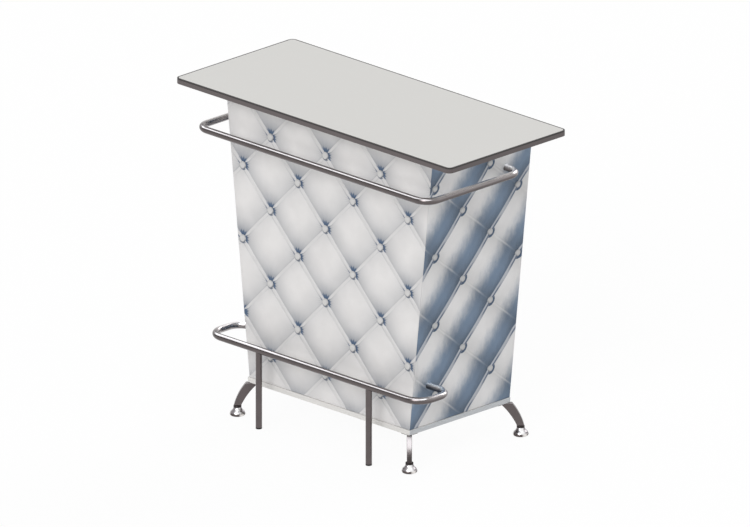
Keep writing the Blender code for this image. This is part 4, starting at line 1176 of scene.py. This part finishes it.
def legs():
    """Four sabre legs turned out at the corners, each with a plate, a collar and a bell foot."""
    low = FOOT_HEIGHT + FIT
    top = low + COLLAR_HEIGHT
    collar = [(STUD_RADIUS, low), *eased(COLLAR_RADIUS, low, 1), *eased(COLLAR_RADIUS, top, -1)[::-1],
              (STUD_RADIUS, top), (STUD_RADIUS, low)]
    for end, depth, toward in (("front", BODY_FRONT, -1), ("rear", BODY_REAR, 1)):
        for side in (-1, 1):
            name = f"{end}_{side_name(side)}"
            corner = Vector((side * half_length(BASE_BOTTOM), depth, 0))
            place = Matrix.Translation(corner) @ Matrix.Rotation(math.atan2(toward, side), 4, "Z")
            foot = on_floor(f"{name}_foot")
            plate, screws = leg_plate()
            leg = joined([leg_blade(), plate])
            for bm in (leg, screws):
                bmesh.ops.transform(bm, matrix=place, verts=bm.verts)
            mesh = to_mesh(name, leg)
            mark_leg(mesh, place)
            flat_faced(show(f"{name}_sabre_leg", mesh, DARK_CHROME, "cabinet", "dark_chrome", f"{name}_leg"))
            show(f"{name}_leg_screws", to_mesh(name, screws), STEEL, "cabinet", "steel")
            mesh = to_mesh(name, turned(collar, FOOT_SIDES, foot))
            show(f"{name}_collar_ring", mesh, DARK_METAL, "cabinet", "dark_metal", f"{name}_collar")
            mesh = to_mesh(name, turned(foot_profile(), FOOT_SIDES, foot), 50)
            mark(mesh, "about_axis", points_of(mesh) - np.array(foot.translation))
            show(f"{name}_bell_foot", mesh, PAINTED_REFLECTION_CHROME, f"{name}_leveller", "dark_chrome", f"{name}_foot")


# Hardware

def screw(place):
    """A pan screw: a small grid with a cross sunk in its middle, drawn out round and domed."""
    cells = len(SCREW_LINES) - 1
    bm = bmesh.new()
    bmesh.ops.create_grid(bm, x_segments=cells, y_segments=cells, size=1)
    for vert in bm.verts:
        for axis in (0, 1):
            vert.co[axis] = SCREW_LINES[round((vert.co[axis] + 1) * cells / 2)]
    middles = [(face, face.calc_center_median()) for face in bm.faces]
    cross = [face for face, middle in middles
             if min(abs(middle.x), abs(middle.y)) < 0.1 and middle.length < 0.6]
    run_on(bm, cross, (0, 0, -SCREW_RECESS))
    skirt = only(BMVert, bmesh.ops.extrude_edge_only(bm, edges=open_edges(bm))["geom"])
    bmesh.ops.translate(bm, vec=(0, 0, -SCREW_RISE), verts=skirt)
    bmesh.ops.holes_fill(bm, edges=open_edges(bm), sides=0)
    for vert in bm.verts:
        across, along = vert.co.x ** 2, vert.co.y ** 2
        vert.co.x *= SCREW_RADIUS * math.sqrt(1 - along / 2)
        vert.co.y *= SCREW_RADIUS * math.sqrt(1 - across / 2)
        vert.co.z += SCREW_RISE * (1 - SCREW_DOME * (across + along - across * along))
    bmesh.ops.transform(bm, matrix=place, verts=bm.verts)
    return bm


def screws_from_below(spots):
    downward = Matrix.Rotation(math.pi, 4, "X")
    return joined([screw(Matrix.Translation(spot) @ downward) for spot in spots])


def hinge_screws(hinge, side, reach):
    """The two screws of a hinge leaf, at a reach from the pin."""
    low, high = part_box(f"{hinge}_pin")
    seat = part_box(f"{hinge}_frame_leaf")[0].y + LEAF_THICKNESS
    outward = Vector((side * math.cos(LEAN_ANGLE), 0, -math.sin(LEAN_ANGLE)))
    rearward = Vector((0, 1, 0))
    place = Matrix((outward, rearward.cross(outward), rearward)).transposed().to_4x4()
    place.translation = ((low.x + high.x) / 2, seat, (low.z + high.z) / 2)
    spots = [(reach, along, 0) for along in (-HINGE_SCREW_SPACING, HINGE_SCREW_SPACING)]
    return to_mesh(hinge, joined([screw(place @ Matrix.Translation(spot)) for spot in spots]))


def hinges_and_doors(side):
    """A door with its two hinges, its catch and strike, and a turned knob."""
    name = f"{side_name(side)}_door"
    body = f"{name}_leaf"
    softened(name, BOARD_BEVEL, WHITE_MELAMINE, body, "white_board")
    for level in ("lower", "upper"):
        hinge = f"{name}_{level}_hinge"
        for part, rider in (("frame_leaf", "cabinet"), ("pin", "cabinet"), ("door_leaf", body)):
            softened(f"{hinge}_{part}", HINGE_BEVEL, STEEL, rider, "steel")
        show(f"{hinge}_frame_screws", hinge_screws(hinge, side, FRAME_SCREW_REACH), STEEL, "cabinet", "steel")
        show(f"{hinge}_door_screws", hinge_screws(hinge, side, -DOOR_SCREW_REACH), STEEL, body, "steel")
    softened(f"{name}_strike", METAL_BEVEL, STEEL, body, "steel")
    softened(f"{name}_catch", CATCH_BEVEL, BLACK_PLASTIC, "cabinet", "black_plastic")
    low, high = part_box(f"{name}_catch")
    spots = [(low.x + (high.x - low.x) * share, (low.y + high.y) / 2, low.z) for share in CATCH_SCREW_SHARES]
    show(f"{name}_catch_screws", to_mesh(name, screws_from_below(spots)), STEEL, "cabinet", "steel")
    low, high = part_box(f"{name}_knob")
    seat = Matrix.Translation(((low.x + high.x) / 2, low.y, (low.z + high.z) / 2))
    profile = list(KNOB_STEM)
    for step in range(KNOB_STEPS + 1):
        angle = math.pi / 2 * step / KNOB_STEPS
        level = KNOB_BELLY + (KNOB_LENGTH - KNOB_BELLY) * math.sin(angle)
        profile.append((KNOB_RADIUS * math.cos(angle), level))
    knob = turned(profile, FOOT_SIDES, seat @ Matrix.Rotation(-math.pi / 2, 4, "X"))
    show(f"{name}_turned_knob", to_mesh(name, knob), DARK_CHROME, body, "dark_chrome", f"{name}_knob")


def bolts():
    """Washer-head bolts that hold the rails, seen from inside."""
    for rail_name in RAILS:
        for side in ("left", "right"):
            softened(f"{rail_name}_{side}_bolt", METAL_BEVEL, STEEL, "cabinet", "steel")


def boards():
    softened("base_panel", BOARD_BEVEL, BASE_MELAMINE, "cabinet", "white_board")
    for node in ("front_panel", "left_side_panel", "right_side_panel", "centre_divider", "middle_shelf",
                 "left_lower_shelf", "right_lower_shelf", "rear_stretcher"):
        softened(node, BOARD_BEVEL, WHITE_MELAMINE, "cabinet", "white_board")


# Stage

def world():
    """White to the camera and in mirrors, and a dimmer sky for the light that spreads."""
    made = bpy.data.worlds.new("studio")
    bpy.context.scene.world = made
    made.use_nodes = True
    tree = made.node_tree
    strength = pick(seen_directly(tree), SKY_STRENGTH, 1.0)
    feed(tree, tree.nodes["Background"], {"Color": (1, 1, 1, 1), "Strength": strength})


def floor():
    """A pale floor that keeps a faint shadow."""
    bm = bmesh.new()
    level = Matrix.Translation((0, 0, -FIT))
    bmesh.ops.create_grid(bm, x_segments=1, y_segments=1, size=FLOOR_HALF, matrix=level)
    mesh = to_mesh("floor", bm)
    material, tree = new_material("pale_floor")
    surface(material, Base_Color=(0.96, 0.96, 0.96, 1), Roughness=1.0, Specular_IOR_Level=0.0)
    matt = Signal(tree, tree.nodes["Principled BSDF"].outputs[0])
    glow = put(tree, "Emission", {"Color": (1, 1, 1, 1), "Strength": 1.0})[0]
    mixed = put(tree, "MixShader", {0: seen_directly(tree) * FLOOR_GLOW, 1: matt, 2: glow})[0]
    feed(tree, tree.nodes["Material Output"], {"Surface": mixed})
    mesh.materials.append(material)
    made = placed("floor", mesh)


def lamp(name, strength, direction, degrees, glow):
    """A distant soft lamp."""
    data = bpy.data.lights.new(name, "SUN")
    data.energy = strength
    data.color = glow
    data.angle = math.radians(degrees)
    made = placed(name, data)
    made.rotation_euler = Vector(direction).to_track_quat("Z", "Y").to_euler()
    return made


def lights():
    """Lamps for everything, and two soft boxes that light the dark chrome alone and that only it shades."""
    for lamp_values in LAMPS:
        lamp(*lamp_values, WHITE_GLOW)
    for lamp_values in CHROME_LAMPS:
        linking = lamp(*lamp_values, COOL_GLOW).light_linking
        linking.receiver_collection = POLISHED
        linking.blocker_collection = POLISHED


def camera():
    made = placed("camera", bpy.data.cameras.new("camera"))
    made.data.type = "ORTHO"
    made.data.ortho_scale = VIEW_WIDTH
    made.data.clip_end = 100
    made.location = VIEW_CENTRE + VIEW_DIRECTION * VIEW_DISTANCE
    made.rotation_euler = VIEW_DIRECTION.to_track_quat("Z", "Y").to_euler()
    bpy.context.scene.camera = made


bpy.context.scene.view_settings.view_transform = "Standard"
world()
floor()
lights()
camera()
worktop()
boards()
front_pad()
for rail_name, rail_sizes in RAILS.items():
    rail(rail_name, **rail_sizes)
posts()
legs()
bolts()
for side in (-1, 1):
    side_pad(side)
    hinges_and_doors(side)
